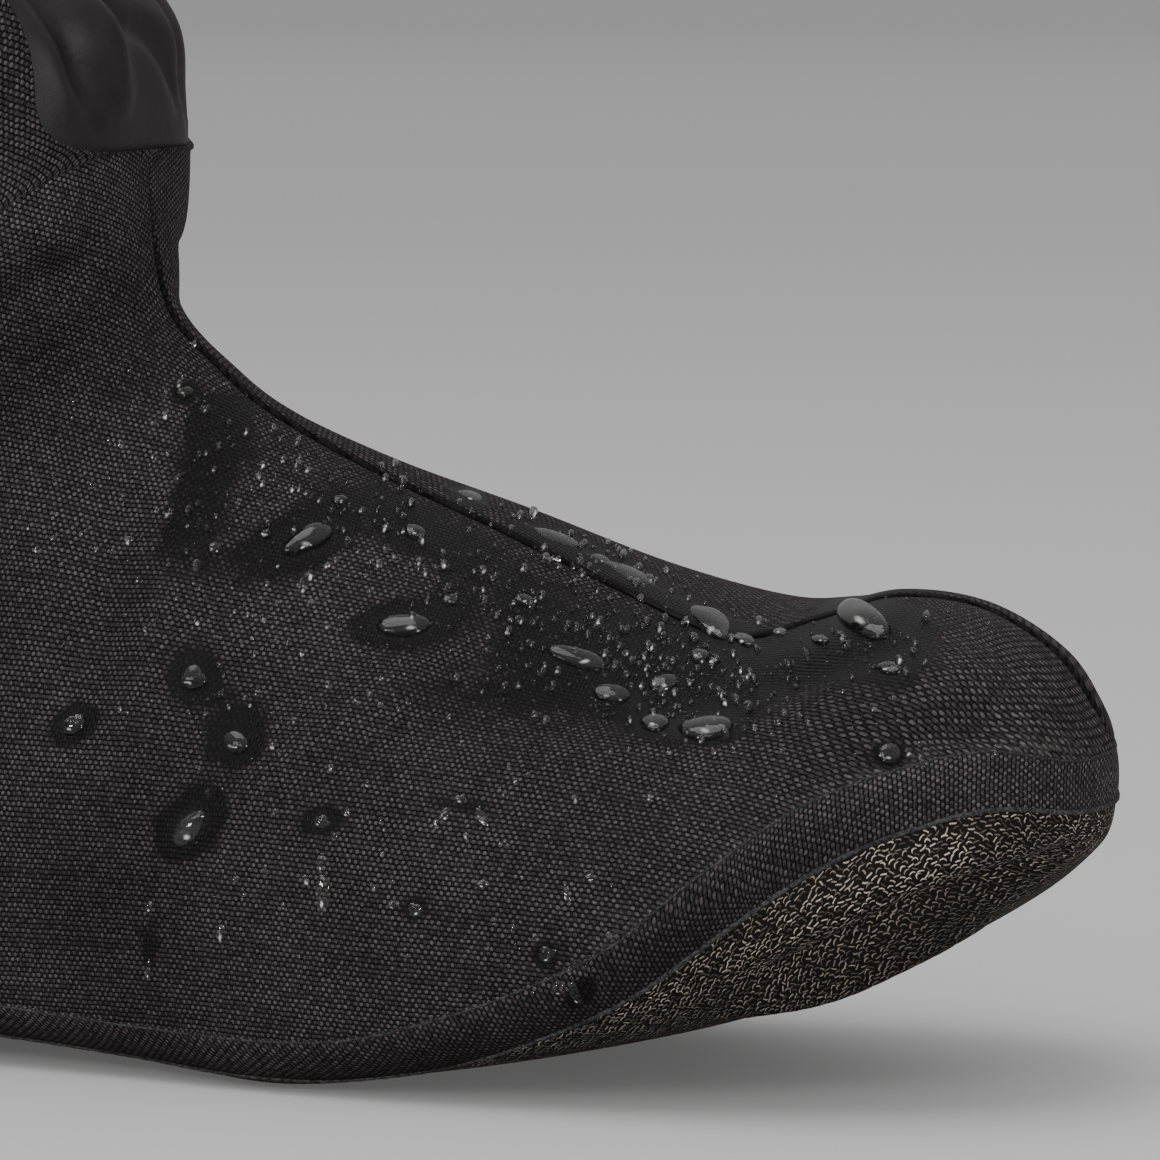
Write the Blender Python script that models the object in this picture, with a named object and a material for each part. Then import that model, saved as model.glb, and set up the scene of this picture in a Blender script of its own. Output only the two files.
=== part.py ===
"""Cycling overshoe for the right foot, a woven rain cover with a knitted sole.

Lengths are in metres, +Z is up, +X points to the toe and -Y to the outer side.
The origin is on the floor under the middle of the shoe. One surface runs from the
toe tip over the foot, round the heel and up the shaft. Each piece is a patch of
that surface, thickened inwards by its own wall.
"""
import math

import bmesh
import bpy
import numpy as np

# Driving sizes
LENGTH = 0.300
BALL_WIDTH = 0.108
HEEL_WIDTH = 0.089
SHAFT_WIDTH = 0.094
INSTEP_HEIGHT = 0.142
HEEL_HEIGHT = 0.048
COLLAR_HEIGHT = 0.238
TOE_LIFT = 0.051

# Walls and raised strips
WALL = 0.0015
GUSSET_WALL = 0.0012
SOLE_WALL = 0.0026
BAND_WALL = 0.0021
HEM_WALL = 0.0025
BAND_HEIGHT = 0.0105
BAND_RISE = 0.0005
COLLAR_HEM_HEIGHT = 0.012
COLLAR_HEM_RISE = 0.0005
SEAM_STRIP_WIDTH = 0.0055
SEAM_STRIP_RISE = 0.0009
SEAM_STEP = 0.0008
CLEARANCE = 0.00035

# Gusset, with its angles round the shaft from the front
GUSSET_FOOT_HEIGHT = 0.165
GUSSET_CORNER_HEIGHT = 0.013
GUSSET_NEAR_ANGLE = math.radians(37)
GUSSET_FAR_ANGLE = math.radians(46)
GUSSET_FLARE = math.radians(3)

# Mesh density
TOE_ROWS = 30
HEEL_ROWS = 7
ANKLE_ROWS = 4
CORNER_ROWS = 5
SHAFT_ROWS = 6
SIDE_COLUMNS = 12
SOLE_COLUMNS = 6
BAND_COLUMNS = 2
GUSSET_COLUMNS = 8
HEEL_REACH = 1.5

# Each row of these tables is one section, from the toe tip back to the heel and
# up to the collar. Top and base are the section's two ends in side view, near and
# far its half widths, and crest the sideways shift of its top. Waist is the share
# of its height where it is widest, crown and floor are its fullness above and
# below that line, and seam is the angle of the centre seam from the top.
COLUMNS = ("top_x", "top_z", "base_x", "base_z", "near", "far", "crest",
           "waist", "crown", "floor", "seam")

# Shares of LENGTH, INSTEP_HEIGHT, TOE_LIFT and BALL_WIDTH
FOOT_SECTIONS = (
    (0.500, 0.445, 0.500, 0.920, 0.000, 0.000, 0.020, 0.42, 2.0, 2.0, 0),
    (0.490, 0.480, 0.492, 0.850, 0.157, 0.135, 0.030, 0.42, 2.0, 2.1, 0),
    (0.463, 0.550, 0.463, 0.700, 0.278, 0.265, 0.040, 0.42, 2.1, 2.2, 0),
    (0.417, 0.601, 0.417, 0.530, 0.375, 0.365, 0.050, 0.40, 2.2, 2.3, 0),
    (0.367, 0.615, 0.367, 0.375, 0.435, 0.417, 0.080, 0.38, 2.2, 2.5, -6),
    (0.323, 0.598, 0.323, 0.290, 0.468, 0.440, 0.150, 0.36, 2.1, 2.7, -17),
    (0.273, 0.592, 0.273, 0.200, 0.495, 0.458, 0.195, 0.34, 2.0, 2.9, -25),
    (0.200, 0.632, 0.200, 0.105, 0.523, 0.477, 0.165, 0.30, 1.9, 3.3, -19),
    (0.117, 0.702, 0.117, 0.030, 0.528, 0.477, 0.100, 0.27, 1.9, 4.4, -14),
    (0.033, 0.766, 0.027, -0.030, 0.505, 0.454, 0.055, 0.25, 1.9, 5.5, -9),
)
# Shares of LENGTH, INSTEP_HEIGHT, HEEL_HEIGHT and HEEL_WIDTH
HEEL_SECTIONS = (
    (-0.033, 0.830, -0.073, 0.020, 0.573, 0.511, 0.030, 0.24, 1.9, 5.0, -5),
    (-0.069, 0.888, -0.193, 0.045, 0.539, 0.489, 0.010, 0.24, 1.9, 4.5, -3),
    (-0.092, 0.935, -0.327, -0.020, 0.517, 0.483, 0.000, 0.26, 2.0, 4.0, -2),
    (-0.105, 0.978, -0.447, -0.020, 0.500, 0.478, 0.000, 0.32, 2.2, 3.2, 0),
    (-0.110, 1.030, -0.500, 0.290, 0.494, 0.478, 0.000, 0.40, 2.7, 2.6, 0),
    (-0.113, 1.100, -0.500, 1.000, 0.494, 0.483, 0.000, 0.46, 3.3, 2.3, 0),
    (-0.115, 1.175, -0.487, 1.770, 0.500, 0.494, 0.000, 0.50, 3.5, 2.2, 0),
)
# Shares of LENGTH, of the shaft's height above the instep and of SHAFT_WIDTH
SHAFT_SECTIONS = (
    (-0.116, 0.36, -0.473, -0.21, 0.484, 0.484, 0, 0.50, 3.4, 2.1, 0),
    (-0.121, 0.49, -0.467, 0.17, 0.495, 0.495, 0, 0.50, 3.2, 2.0, 0),
    (-0.155, 0.65, -0.467, 0.48, 0.500, 0.500, 0, 0.50, 2.8, 2.0, 0),
    (-0.172, 0.82, -0.467, 0.75, 0.500, 0.500, 0, 0.50, 2.5, 2.0, 0),
    (-0.175, 1.00, -0.467, 1.00, 0.495, 0.495, 0, 0.50, 2.4, 2.0, 0),
)

# Sole seam from heel to toe: place along the shoe as a share of LENGTH, height
# of TOE_LIFT, and the height of the band above it as a share of BAND_HEIGHT
SOLE_SEAM = (
    (-0.500, 0.18, 0.80),
    (-0.367, 0.17, 0.80),
    (-0.233, 0.13, 0.75),
    (-0.133, 0.090, 0.70),
    (-0.050, 0.060, 0.70),
    (0.017, 0.045, 0.70),
    (0.083, 0.050, 0.80),
    (0.133, 0.100, 0.90),
    (0.200, 0.235, 0.90),
    (0.267, 0.43, 0.92),
    (0.317, 0.65, 0.95),
    (0.367, 0.86, 1.00),
    (0.417, 1.00, 1.00),
    (0.467, 1.06, 0.98),
    (0.500, 1.01, 0.90),
)


def in_metres(rows, along, top, base, across, floor_of_top=0.0, floor_of_base=0.0):
    """Section rows with their shares turned into metres and their seam in radians."""
    table = np.array(rows, dtype=float)
    table[:, [0, 2]] *= along
    table[:, 1] = table[:, 1] * top + floor_of_top
    table[:, 3] = table[:, 3] * base + floor_of_base
    table[:, 4:7] *= across
    table[:, 10] = np.radians(table[:, 10])
    return table


SHAFT_HEIGHT = COLLAR_HEIGHT - INSTEP_HEIGHT
SECTIONS = np.concatenate([
    in_metres(FOOT_SECTIONS, LENGTH, INSTEP_HEIGHT, TOE_LIFT, BALL_WIDTH),
    in_metres(HEEL_SECTIONS, LENGTH, INSTEP_HEIGHT, HEEL_HEIGHT, HEEL_WIDTH),
    in_metres(SHAFT_SECTIONS, LENGTH, SHAFT_HEIGHT, SHAFT_HEIGHT, SHAFT_WIDTH,
              INSTEP_HEIGHT, INSTEP_HEIGHT),
])
LAST_SECTION = len(SECTIONS) - 1.0
HEEL_SECTION = len(FOOT_SECTIONS) + 2.0
SEAM_ROWS = np.array(SOLE_SEAM) * (LENGTH, TOE_LIFT, BAND_HEIGHT)
TIP_SLOPE = 1.35
TIP_SPAN = 0.02


def smooth_curve(knots, values, at, first_slope=None):
    """Cubic curve through the values, with slopes from each point's neighbours."""
    steps = np.diff(knots)[:, None]
    rises = np.diff(values, axis=0) / steps
    slopes = np.empty_like(values)
    slopes[0] = rises[0] if first_slope is None else first_slope
    slopes[-1] = rises[-1]
    slopes[1:-1] = rises[:-1] * steps[1:] + rises[1:] * steps[:-1]
    slopes[1:-1] /= steps[1:] + steps[:-1]
    left = np.clip(np.searchsorted(knots, at, side="right") - 1, 0, len(knots) - 2)
    step = steps[left]
    t = (at[..., None] - knots[left][..., None]) / step
    rise = values[left + 1] - values[left]
    bend_in = slopes[left] * step - rise
    bend_out = rise - slopes[left + 1] * step
    return values[left] + rise * t + t * (1 - t) * (bend_in * (1 - t) + bend_out * t)


def section_rows(section):
    """The section table read between its rows, which leave the tip square to it."""
    tip_slope = np.zeros(len(COLUMNS))
    tip_slope[4:6] = TIP_SLOPE * (SECTIONS[1, 4:6] - SECTIONS[0, 4:6])
    return smooth_curve(np.arange(len(SECTIONS)), SECTIONS, section, tip_slope)


def signed_power(value, exponent):
    """A power that keeps the sign of its base."""
    return np.sign(value) * np.abs(value) ** exponent


def surface(section, girth):
    """Outer surface, by section number and by angle from the top round the girth."""
    section, girth = np.broadcast_arrays(np.asarray(section, float), girth)
    row = dict(zip(COLUMNS, np.moveaxis(section_rows(section), -1, 0)))
    across, up = np.sin(girth), np.cos(girth)
    upper_part = 0.5 + 0.5 * np.tanh(4 * up)
    fullness = row["floor"] + (row["crown"] - row["floor"]) * upper_part
    share = signed_power(up, 2 / fullness)
    waist = row["waist"]
    height = waist + np.where(share > 0, 1 - waist, waist) * share
    half = np.where(across < 0, row["near"], row["far"])
    lean = np.clip((height - waist) / (1 - waist), 0, 1) ** 1.5
    x = row["base_x"] + (row["top_x"] - row["base_x"]) * height
    y = row["crest"] * lean + half * signed_power(across, 2 / fullness)
    z = row["base_z"] + (row["top_z"] - row["base_z"]) * height
    return np.stack([x, y, np.maximum(z, 0)], axis=-1)


def tangents(section, girth, step=1e-3):
    """Change of the surface per section and per angle."""
    section, girth = np.broadcast_arrays(np.asarray(section, float), girth)
    along = surface(section + step, girth) - surface(section - step, girth)
    around = surface(section, girth + step) - surface(section, girth - step)
    return along / (2 * step), around / (2 * step)


def normals(section, girth):
    """Outward unit normals of the surface, which point straight ahead at the tip."""
    section = np.asarray(section, float)
    along, around = tangents(np.maximum(section, TIP_SPAN), girth)
    normal = np.cross(around, along)
    normal[..., 1] *= np.clip(section / TIP_SPAN, 0, 1)
    return normal / np.linalg.norm(normal, axis=-1, keepdims=True)


def above_seam(section, girth):
    """Distance along the surface above the sole seam, and the band's height there."""
    point = surface(section, girth)
    normal = normals(section, girth)
    place = np.clip(point[..., 0], SEAM_ROWS[0, 0], SEAM_ROWS[-1, 0])
    nudge = 1e-3
    seam = smooth_curve(SEAM_ROWS[:, 0], SEAM_ROWS[:, 1:], place)
    ahead = smooth_curve(SEAM_ROWS[:, 0], SEAM_ROWS[:, 1:], place + nudge)
    slope = np.zeros_like(point)
    slope[..., 0] = (seam[..., 0] - ahead[..., 0]) / nudge
    slope[..., 2] = 1
    slope -= np.sum(slope * normal, axis=-1, keepdims=True) * normal
    steepness = np.maximum(np.linalg.norm(slope, axis=-1), 0.2)
    return (point[..., 2] - seam[..., 0]) / steepness, seam[..., 1]


def first_crossing(places, values):
    """Where values, which start below zero, first pass through it."""
    index = int(np.argmax(values > 0))
    low, high = values[index - 1], values[index]
    return places[index - 1] + (places[index] - places[index - 1]) * low / (low - high)


def seam_angle(section, side, band_share, offset):
    """Girth angle at which each section meets a line along the band on one side."""
    angles = side * np.linspace(math.pi, 0, 721)
    distance, band = above_seam(section[:, None], angles)
    level = distance - band_share * band - offset
    return np.array([first_crossing(angles, row) for row in level])


def heel_end(band_share, offset):
    """Section whose base, at the back of the heel, meets a line along the band."""
    places = np.linspace(HEEL_SECTION, HEEL_SECTION + 4, 801)
    distance, band = above_seam(places, math.pi)
    return first_crossing(places, distance - band_share * band - offset)


def arc_angles(section, start, end, lengths):
    """Angles along each section's arc from start to end, at lengths measured on it.

    The lengths function takes each arc's length and gives one length a column.
    """
    share = np.linspace(0, 1, 161)
    angles = start[:, None] + (end - start)[:, None] * share
    points = surface(section[:, None], angles)
    steps = np.linalg.norm(np.diff(points, axis=1), axis=2)
    travelled = np.concatenate([np.zeros((len(steps), 1)), np.cumsum(steps, axis=1)], axis=1)
    wanted = lengths(travelled[:, -1])
    return np.array([np.interp(*row) for row in zip(wanted, travelled, angles)])


def even_lengths(columns):
    """Lengths function for columns that lie evenly along the arc."""
    return lambda total: total[:, None] * np.linspace(0, 1, columns + 1)


def foot_rows(end):
    """Section numbers from the toe tip, closing up where the seam rounds the heel."""
    even = np.linspace(0, end - HEEL_REACH, TOE_ROWS, endpoint=False)
    closing = np.linspace(1, 0, HEEL_ROWS)
    return np.concatenate([even, end - HEEL_REACH * closing ** 2])


def band_edge(side, band_share, offset):
    """Sections and girth angles of a line along the band, from the toe to the heel."""
    rows = foot_rows(heel_end(band_share, offset))
    closed = [side * math.pi]
    return rows, np.concatenate([seam_angle(rows[:-1], side, band_share, offset), closed])


def section_at_height(height):
    """Section whose front end lies at a height on the shaft."""
    places = np.linspace(HEEL_SECTION, LAST_SECTION, 801)
    return first_crossing(places, section_rows(places)[:, 1] - height)


HALF_GAP = CLEARANCE / 2
COLLAR_SECTION = section_at_height(COLLAR_HEIGHT - COLLAR_HEM_HEIGHT)
GUSSET_SECTION = section_at_height(GUSSET_FOOT_HEIGHT)
CORNER_REACH = section_at_height(GUSSET_FOOT_HEIGHT + GUSSET_CORNER_HEIGHT) - GUSSET_SECTION


def front_speed(section):
    """Length of surface that one section spans at the shaft's front."""
    along, _ = tangents(section, 0.0)
    return float(np.linalg.norm(along))


def slot_rows(outwards):
    """Section numbers up the gusset's edge, and the share of its width at each."""
    start = GUSSET_SECTION - outwards / front_speed(GUSSET_SECTION)
    end = COLLAR_SECTION - HALF_GAP / front_speed(COLLAR_SECTION)
    turn = np.linspace(0, math.pi / 2, CORNER_ROWS)
    corner = start + (CORNER_REACH - start + GUSSET_SECTION) * (1 - np.cos(turn))
    straight = np.linspace(corner[-1], end, SHAFT_ROWS + 1)[1:]
    widths = np.concatenate([np.sin(turn), np.ones(SHAFT_ROWS)])
    return np.concatenate([corner, straight]), widths


def slot_angles(section, widths, outwards):
    """Near and far angles of the gusset's edge, moved outwards by a length."""
    climb = (section - section[0]) / (section[-1] - section[0])
    edges = []
    for angle, side in ((GUSSET_NEAR_ANGLE, -1), (GUSSET_FAR_ANGLE, 1)):
        edge = side * (angle + GUSSET_FLARE * climb) * widths
        _, around = tangents(section, edge)
        speed = np.linalg.norm(around, axis=-1)
        edges.append(edge + side * outwards / speed * np.sign(widths))
    return edges


def seam_lengths(total):
    """Lengths for a panel: the seam's raised strip first, then even columns."""
    strip = np.minimum(SEAM_STRIP_WIDTH, total / 4)
    step = np.minimum(SEAM_STEP, total / 16)
    edge = strip + step
    even = edge[:, None] + (total - edge)[:, None] * np.linspace(0, 1, SIDE_COLUMNS + 1)
    return np.column_stack([np.zeros_like(total), step, strip, even])


def sheet_points(section, girth, rise, wall):
    """Outer and inner points of a patch: raised outwards and thickened inwards."""
    section, girth = np.broadcast_arrays(section, girth)
    point = surface(section, girth)
    normal = normals(section, girth)
    rise = np.broadcast_to(rise, section.shape)[..., None]
    outer = point + normal * rise
    outer[..., 2] = np.maximum(outer[..., 2], 0)
    return outer, point - normal * wall


def grid_faces(index):
    """Faces of a grid of vertex numbers, with repeated corners left out."""
    corners = np.stack([index[:-1, :-1], index[1:, :-1], index[1:, 1:], index[:-1, 1:]], -1)
    faces = []
    for corner in corners.reshape(-1, 4).tolist():
        face = [v for i, v in enumerate(corner) if v != corner[i - 1]]
        if len(face) > 2:
            faces.append(face)
    return faces


def sheet_solid(name, outer, inner, faces, material):
    """Closed solid between the outer and inner points of an open sheet of faces."""
    used = sorted({v for face in faces for v in face})
    number = {v: i for i, v in enumerate(used)}
    count = len(used)
    outside = [[number[v] for v in face] for face in faces]
    edges = {(face[i - 1], v) for face in outside for i, v in enumerate(face)}
    rims = [(a, b) for a, b in edges if (b, a) not in edges]
    inside = [[v + count for v in reversed(face)] for face in outside]
    sides = [[b, a, a + count, b + count] for a, b in sorted(rims)]
    points = np.concatenate([outer[used], inner[used]])
    mesh = bpy.data.meshes.new(name)
    mesh.from_pydata(points.tolist(), [], outside + inside + sides)
    work = bmesh.new()
    work.from_mesh(mesh)
    bmesh.ops.triangulate(work, faces=work.faces[:], quad_method="SHORT_EDGE")
    bmesh.ops.recalc_face_normals(work, faces=work.faces[:])
    work.to_mesh(mesh)
    work.free()
    mesh.shade_smooth()
    mesh.set_sharp_from_angle(angle=math.radians(50))
    mesh.materials.append(material)
    piece = bpy.data.objects.new(name, mesh)
    bpy.context.scene.collection.objects.link(piece)
    return piece


def two_sides(near, far, weld):
    """Points and faces of two like grids, whose vertices the weld function shares."""
    shape = near[0].shape[:2]
    near_index = np.arange(shape[0] * shape[1]).reshape(shape)
    far_index = near_index + near_index.size
    weld(near_index, far_index)
    outer = np.concatenate([near[0].reshape(-1, 3), far[0].reshape(-1, 3)])
    inner = np.concatenate([near[1].reshape(-1, 3), far[1].reshape(-1, 3)])
    return outer, inner, grid_faces(near_index) + grid_faces(far_index[:, ::-1])


def make_upper(material):
    """Two side panels, joined over the foot and up the back, open for the gusset."""
    foot = foot_rows(heel_end(1.0, HALF_GAP))
    slot, widths = slot_rows(HALF_GAP)
    ankle = np.linspace(foot[-1], slot[0], ANKLE_ROWS + 2)[1:-1]
    section = np.concatenate([foot, ankle, slot])
    seam = section_rows(section)[:, COLUMNS.index("seam")]
    opening = np.concatenate([np.zeros(len(foot) + len(ankle)), widths])
    slot_edges = slot_angles(slot, widths, HALF_GAP)
    fade = np.clip(section / 2, 0, 1) * np.clip((slot[0] - section) / 1.5, 0, 1)
    sides = []
    for side, edge, rise in ((-1, slot_edges[0], 0.0), (1, slot_edges[1], SEAM_STRIP_RISE)):
        start = seam * (opening == 0)
        start[-len(slot):] += edge
        end = np.full_like(section, side * math.pi)
        end[:len(foot)] = band_edge(side, 1.0, HALF_GAP)[1]
        girth = arc_angles(section, start, end, seam_lengths)
        lift = np.zeros(girth.shape)
        lift[:, 1:3] = rise * fade[:, None]
        sides.append(sheet_points(section[:, None], girth, lift, WALL))

    heel = len(foot) - 1
    corner = len(foot) + len(ankle)

    def weld(near, far):
        far[0] = near[0]
        far[:corner + 1, 0] = near[:corner + 1, 0]
        far[heel:, -1] = near[heel:, -1]

    return sheet_solid("upper", *two_sides(*sides, weld), material)


def make_band(material):
    """Edge strip round the lower edge, between the upper and the sole."""
    share = np.linspace(0, 1, BAND_COLUMNS + 1)
    sides = []
    for side in (-1, 1):
        lower, lower_angle = band_edge(side, 0.0, HALF_GAP)
        higher, higher_angle = band_edge(side, 1.0, -HALF_GAP)
        section = lower[:, None] + (higher - lower)[:, None] * share
        angle = lower_angle[:, None] + (higher_angle - lower_angle)[:, None] * share
        sides.append(sheet_points(section, angle, BAND_RISE, BAND_WALL))

    def weld(near, far):
        far[0] = near[0]
        far[-1] = near[-1]

    return sheet_solid("edge_band", *two_sides(*sides, weld), material)


def make_sole(material):
    """Knitted shell under the foot, flat under the ball and the heel."""
    sides = []
    for side in (-1, 1):
        section, start = band_edge(side, 0.0, -HALF_GAP)
        end = np.full_like(start, side * math.pi)
        girth = arc_angles(section, start, end, even_lengths(SOLE_COLUMNS))
        sides.append(sheet_points(section[:, None], girth, 0.0, SOLE_WALL))

    def weld(near, far):
        far[0] = near[0]
        far[:, -1] = near[:, -1]
        near[-1] = near[-1, -1]
        far[-1] = near[-1, -1]

    return sheet_solid("sole", *two_sides(*sides, weld), material)


def make_gusset(material):
    """Smooth cloth between the panels at the front of the ankle."""
    section, widths = slot_rows(-HALF_GAP)
    near, far = slot_angles(section, widths, -HALF_GAP)
    girth = arc_angles(section, near, far, even_lengths(GUSSET_COLUMNS))
    outer, inner = sheet_points(section[:, None], girth, 0.0, GUSSET_WALL)
    index = np.arange(girth.size).reshape(girth.shape)
    index[0] = index[0, 0]
    faces = grid_faces(index)
    return sheet_solid("gusset", outer.reshape(-1, 3), inner.reshape(-1, 3), faces, material)


def make_collar_hem(material):
    """Turned hem round the top of the shaft."""
    start = COLLAR_SECTION + HALF_GAP / front_speed(COLLAR_SECTION)
    section = np.linspace(start, LAST_SECTION, 3)
    whole_turn = np.full_like(section, math.pi)
    girth = arc_angles(section, -whole_turn, whole_turn, even_lengths(4 * GUSSET_COLUMNS))
    outer, inner = sheet_points(section[:, None], girth, COLLAR_HEM_RISE, HEM_WALL)
    index = np.arange(girth.size).reshape(girth.shape)
    index[:, -1] = index[:, 0]
    faces = grid_faces(index)
    return sheet_solid("collar_hem", outer.reshape(-1, 3), inner.reshape(-1, 3), faces, material)


def cloth(name, colour, roughness):
    """Dull cloth material."""
    material = bpy.data.materials.new(name)
    material.use_nodes = True
    shader = material.node_tree.nodes["Principled BSDF"]
    shader.inputs["Base Color"].default_value = (*colour, 1)
    shader.inputs["Roughness"].default_value = roughness
    material.diffuse_color = (*colour, 1)
    return material


def main():
    """Clear the scene, build the pieces and centre them over the origin."""
    for old in list(bpy.data.objects):
        bpy.data.objects.remove(old, do_unlink=True)
    woven = cloth("woven_cloth", (0.021, 0.019, 0.020), 0.75)
    pieces = [
        make_upper(woven),
        make_gusset(cloth("smooth_cloth", (0.026, 0.024, 0.024), 0.55)),
        make_band(cloth("band_cloth", (0.018, 0.018, 0.020), 0.7)),
        make_sole(cloth("knit", (0.045, 0.036, 0.026), 0.85)),
        make_collar_hem(woven),
    ]
    corners = np.concatenate([np.array([v.co for v in p.data.vertices]) for p in pieces])
    middle = (corners.min(axis=0) + corners.max(axis=0)) / 2
    for piece in pieces:
        for vertex in piece.data.vertices:
            vertex.co.x -= middle[0]
            vertex.co.y -= middle[1]


main()
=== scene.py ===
"""Cycling overshoe for the right foot: a woven rain cover with a knitted sole, wet with rain.

Lengths are in metres in the shared frame: +Z is up, +X points to the toe and -Y to the
outer side. One surface runs from the toe tip over the foot, round the heel and up the
shaft, addressed by a section number and by an angle round the girth from the top. Every
cloth piece is a fine patch of that surface with soft folds, thickened by its own wall.
"""

import logging
import math
from collections.abc import Callable
from dataclasses import dataclass
from enum import Enum

import bmesh
import bpy
import numpy as np
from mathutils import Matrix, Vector
from numpy.typing import NDArray


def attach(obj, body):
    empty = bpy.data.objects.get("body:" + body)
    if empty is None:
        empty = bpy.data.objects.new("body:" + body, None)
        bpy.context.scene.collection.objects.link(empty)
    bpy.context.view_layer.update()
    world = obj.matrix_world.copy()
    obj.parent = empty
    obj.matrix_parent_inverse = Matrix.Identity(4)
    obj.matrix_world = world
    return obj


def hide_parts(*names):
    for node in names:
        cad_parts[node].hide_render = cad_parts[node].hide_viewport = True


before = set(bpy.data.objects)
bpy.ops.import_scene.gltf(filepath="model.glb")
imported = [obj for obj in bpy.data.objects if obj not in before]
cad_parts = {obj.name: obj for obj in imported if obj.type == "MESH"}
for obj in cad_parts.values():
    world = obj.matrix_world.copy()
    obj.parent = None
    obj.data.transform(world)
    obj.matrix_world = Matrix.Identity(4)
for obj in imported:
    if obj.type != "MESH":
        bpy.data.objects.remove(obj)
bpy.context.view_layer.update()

Array = NDArray[np.float64]
Pairs = tuple[tuple[float, float], ...]
log = logging.getLogger("overshoe")


class Side(Enum):
    """The two halves of the cover, by the sign of their girth angles."""

    OUTER = -1
    INNER = 1


# Form

@dataclass(frozen=True)
class ShoeSizes:
    """Driving sizes of the shoe in metres, the same as its solids have."""

    length: float = 0.300
    ball_width: float = 0.108
    heel_width: float = 0.089
    shaft_width: float = 0.094
    instep_height: float = 0.142
    heel_height: float = 0.048
    collar_height: float = 0.238
    toe_lift: float = 0.051
    band_height: float = 0.0105
    hem_height: float = 0.012
    gusset_foot: float = 0.165
    gusset_corner: float = 0.013
    gusset_near: float = 37.0
    gusset_far: float = 46.0
    gusset_flare: float = 3.0
    side_shift: float = 0.0024


def run_along(points: Array, axis: int = 0) -> Array:
    """Length run along one axis of a grid of points, counted from its first point.

    Args:
        points: Points, with X, Y and Z last.
        axis: Axis to run along.

    Returns:
        Lengths, one a point.
    """
    steps = np.linalg.norm(np.diff(points, axis=axis), axis=-1)
    start = np.zeros_like(np.take(steps, [0], axis))
    return np.concatenate([start, np.cumsum(steps, axis=axis)], axis=axis)


def even_lengths(columns: int) -> Callable[[Array], Array]:
    """A function from arc lengths to the lengths of evenly spaced columns."""
    return lambda total: total[:, None] * np.linspace(0, 1, columns + 1)


@dataclass(frozen=True)
class Fold:
    """A soft ridge or trough in the cloth along a line of surface places.

    The places are pairs of section number and girth angle in degrees. The height is
    negative for a trough, and the width is where it has fallen to a third.
    """

    places: Pairs
    height: float
    width: float


FOLDS = (
    Fold(((14.7, -52), (14.5, -37), (14.3, -26), (14.6, -16)), -0.0032, 0.0045),
    Fold(((15.4, -52), (15.1, -37), (15.0, -21)), 0.0023, 0.008),
    Fold(((13.5, -34), (13.2, -48), (13.0, -62)), 0.0017, 0.010),
    Fold(((12.9, -37), (11.9, -46), (11.4, -56), (10.9, -68)), 0.0020, 0.008),
    Fold(((10.3, -30), (10.1, -47), (10.1, -61), (9.9, -74)), 0.0020, 0.007),
    Fold(((11.7, -31), (10.9, -46), (10.6, -58), (10.6, -70)), -0.0020, 0.006),
    Fold(((9.2, -77), (8.8, -65), (8.3, -55), (8.0, -44)), 0.0017, 0.0055),
    Fold(((9.0, -74), (8.0, -66), (7.2, -61), (6.3, -56), (5.3, -54)), 0.0016, 0.007),
    Fold(((7.6, -48), (6.8, -46), (6.0, -42), (5.2, -44)), -0.0014, 0.008),
    Fold(((6.6, -96), (5.6, -90), (4.7, -85), (3.6, -80), (2.8, -75), (2.0, -66)), 0.0023, 0.0048),
    Fold(((3.5, -73), (2.8, -66), (2.4, -59), (2.0, -48)), -0.0023, 0.0042),
    Fold(((3.3, -53), (2.8, -44), (2.3, -33)), 0.0019, 0.007),
    Fold(((5.3, -43), (4.3, -38), (3.7, -26)), -0.0019, 0.007),
    Fold(((5.0, -126), (3.5, -126), (2.7, -126), (1.9, -137), (1.1, -150)), -0.0052, 0.0040),
    Fold(((4.6, -107), (3.3, -107), (2.4, -106), (1.4, -110)), 0.0020, 0.006),
    Fold(((5.6, -140), (4.6, -146), (3.4, -150), (2.4, -160)), 0.0032, 0.005),
    Fold(((14.8, 58), (14.4, 40), (14.2, 26), (14.5, 14)), -0.0029, 0.0045),
    Fold(((13.4, 30), (12.9, 48), (12.4, 66)), 0.0020, 0.009),
    Fold(((11.0, 34), (10.4, 52), (10.2, 70)), 0.0019, 0.008),
    Fold(((8.6, 40), (8.2, 58), (8.4, 78)), -0.0017, 0.008),
    Fold(((6.4, 92), (5.4, 88), (4.4, 84), (3.2, 78), (2.2, 68)), 0.0020, 0.005),
    Fold(((17.8, -150), (17.2, -120), (17.0, -95)), -0.0023, 0.007),
    Fold(((16.6, 150), (16.2, 120), (16.3, 92)), -0.0023, 0.007),
    Fold(((15.6, -172), (15.2, -140), (15.0, -105)), 0.0020, 0.008),
    Fold(((15.0, 168), (14.6, 136), (14.6, 104)), 0.0020, 0.008),
    Fold(((13.9, -178), (13.5, -140), (13.4, -110)), -0.0017, 0.008),
)


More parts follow.
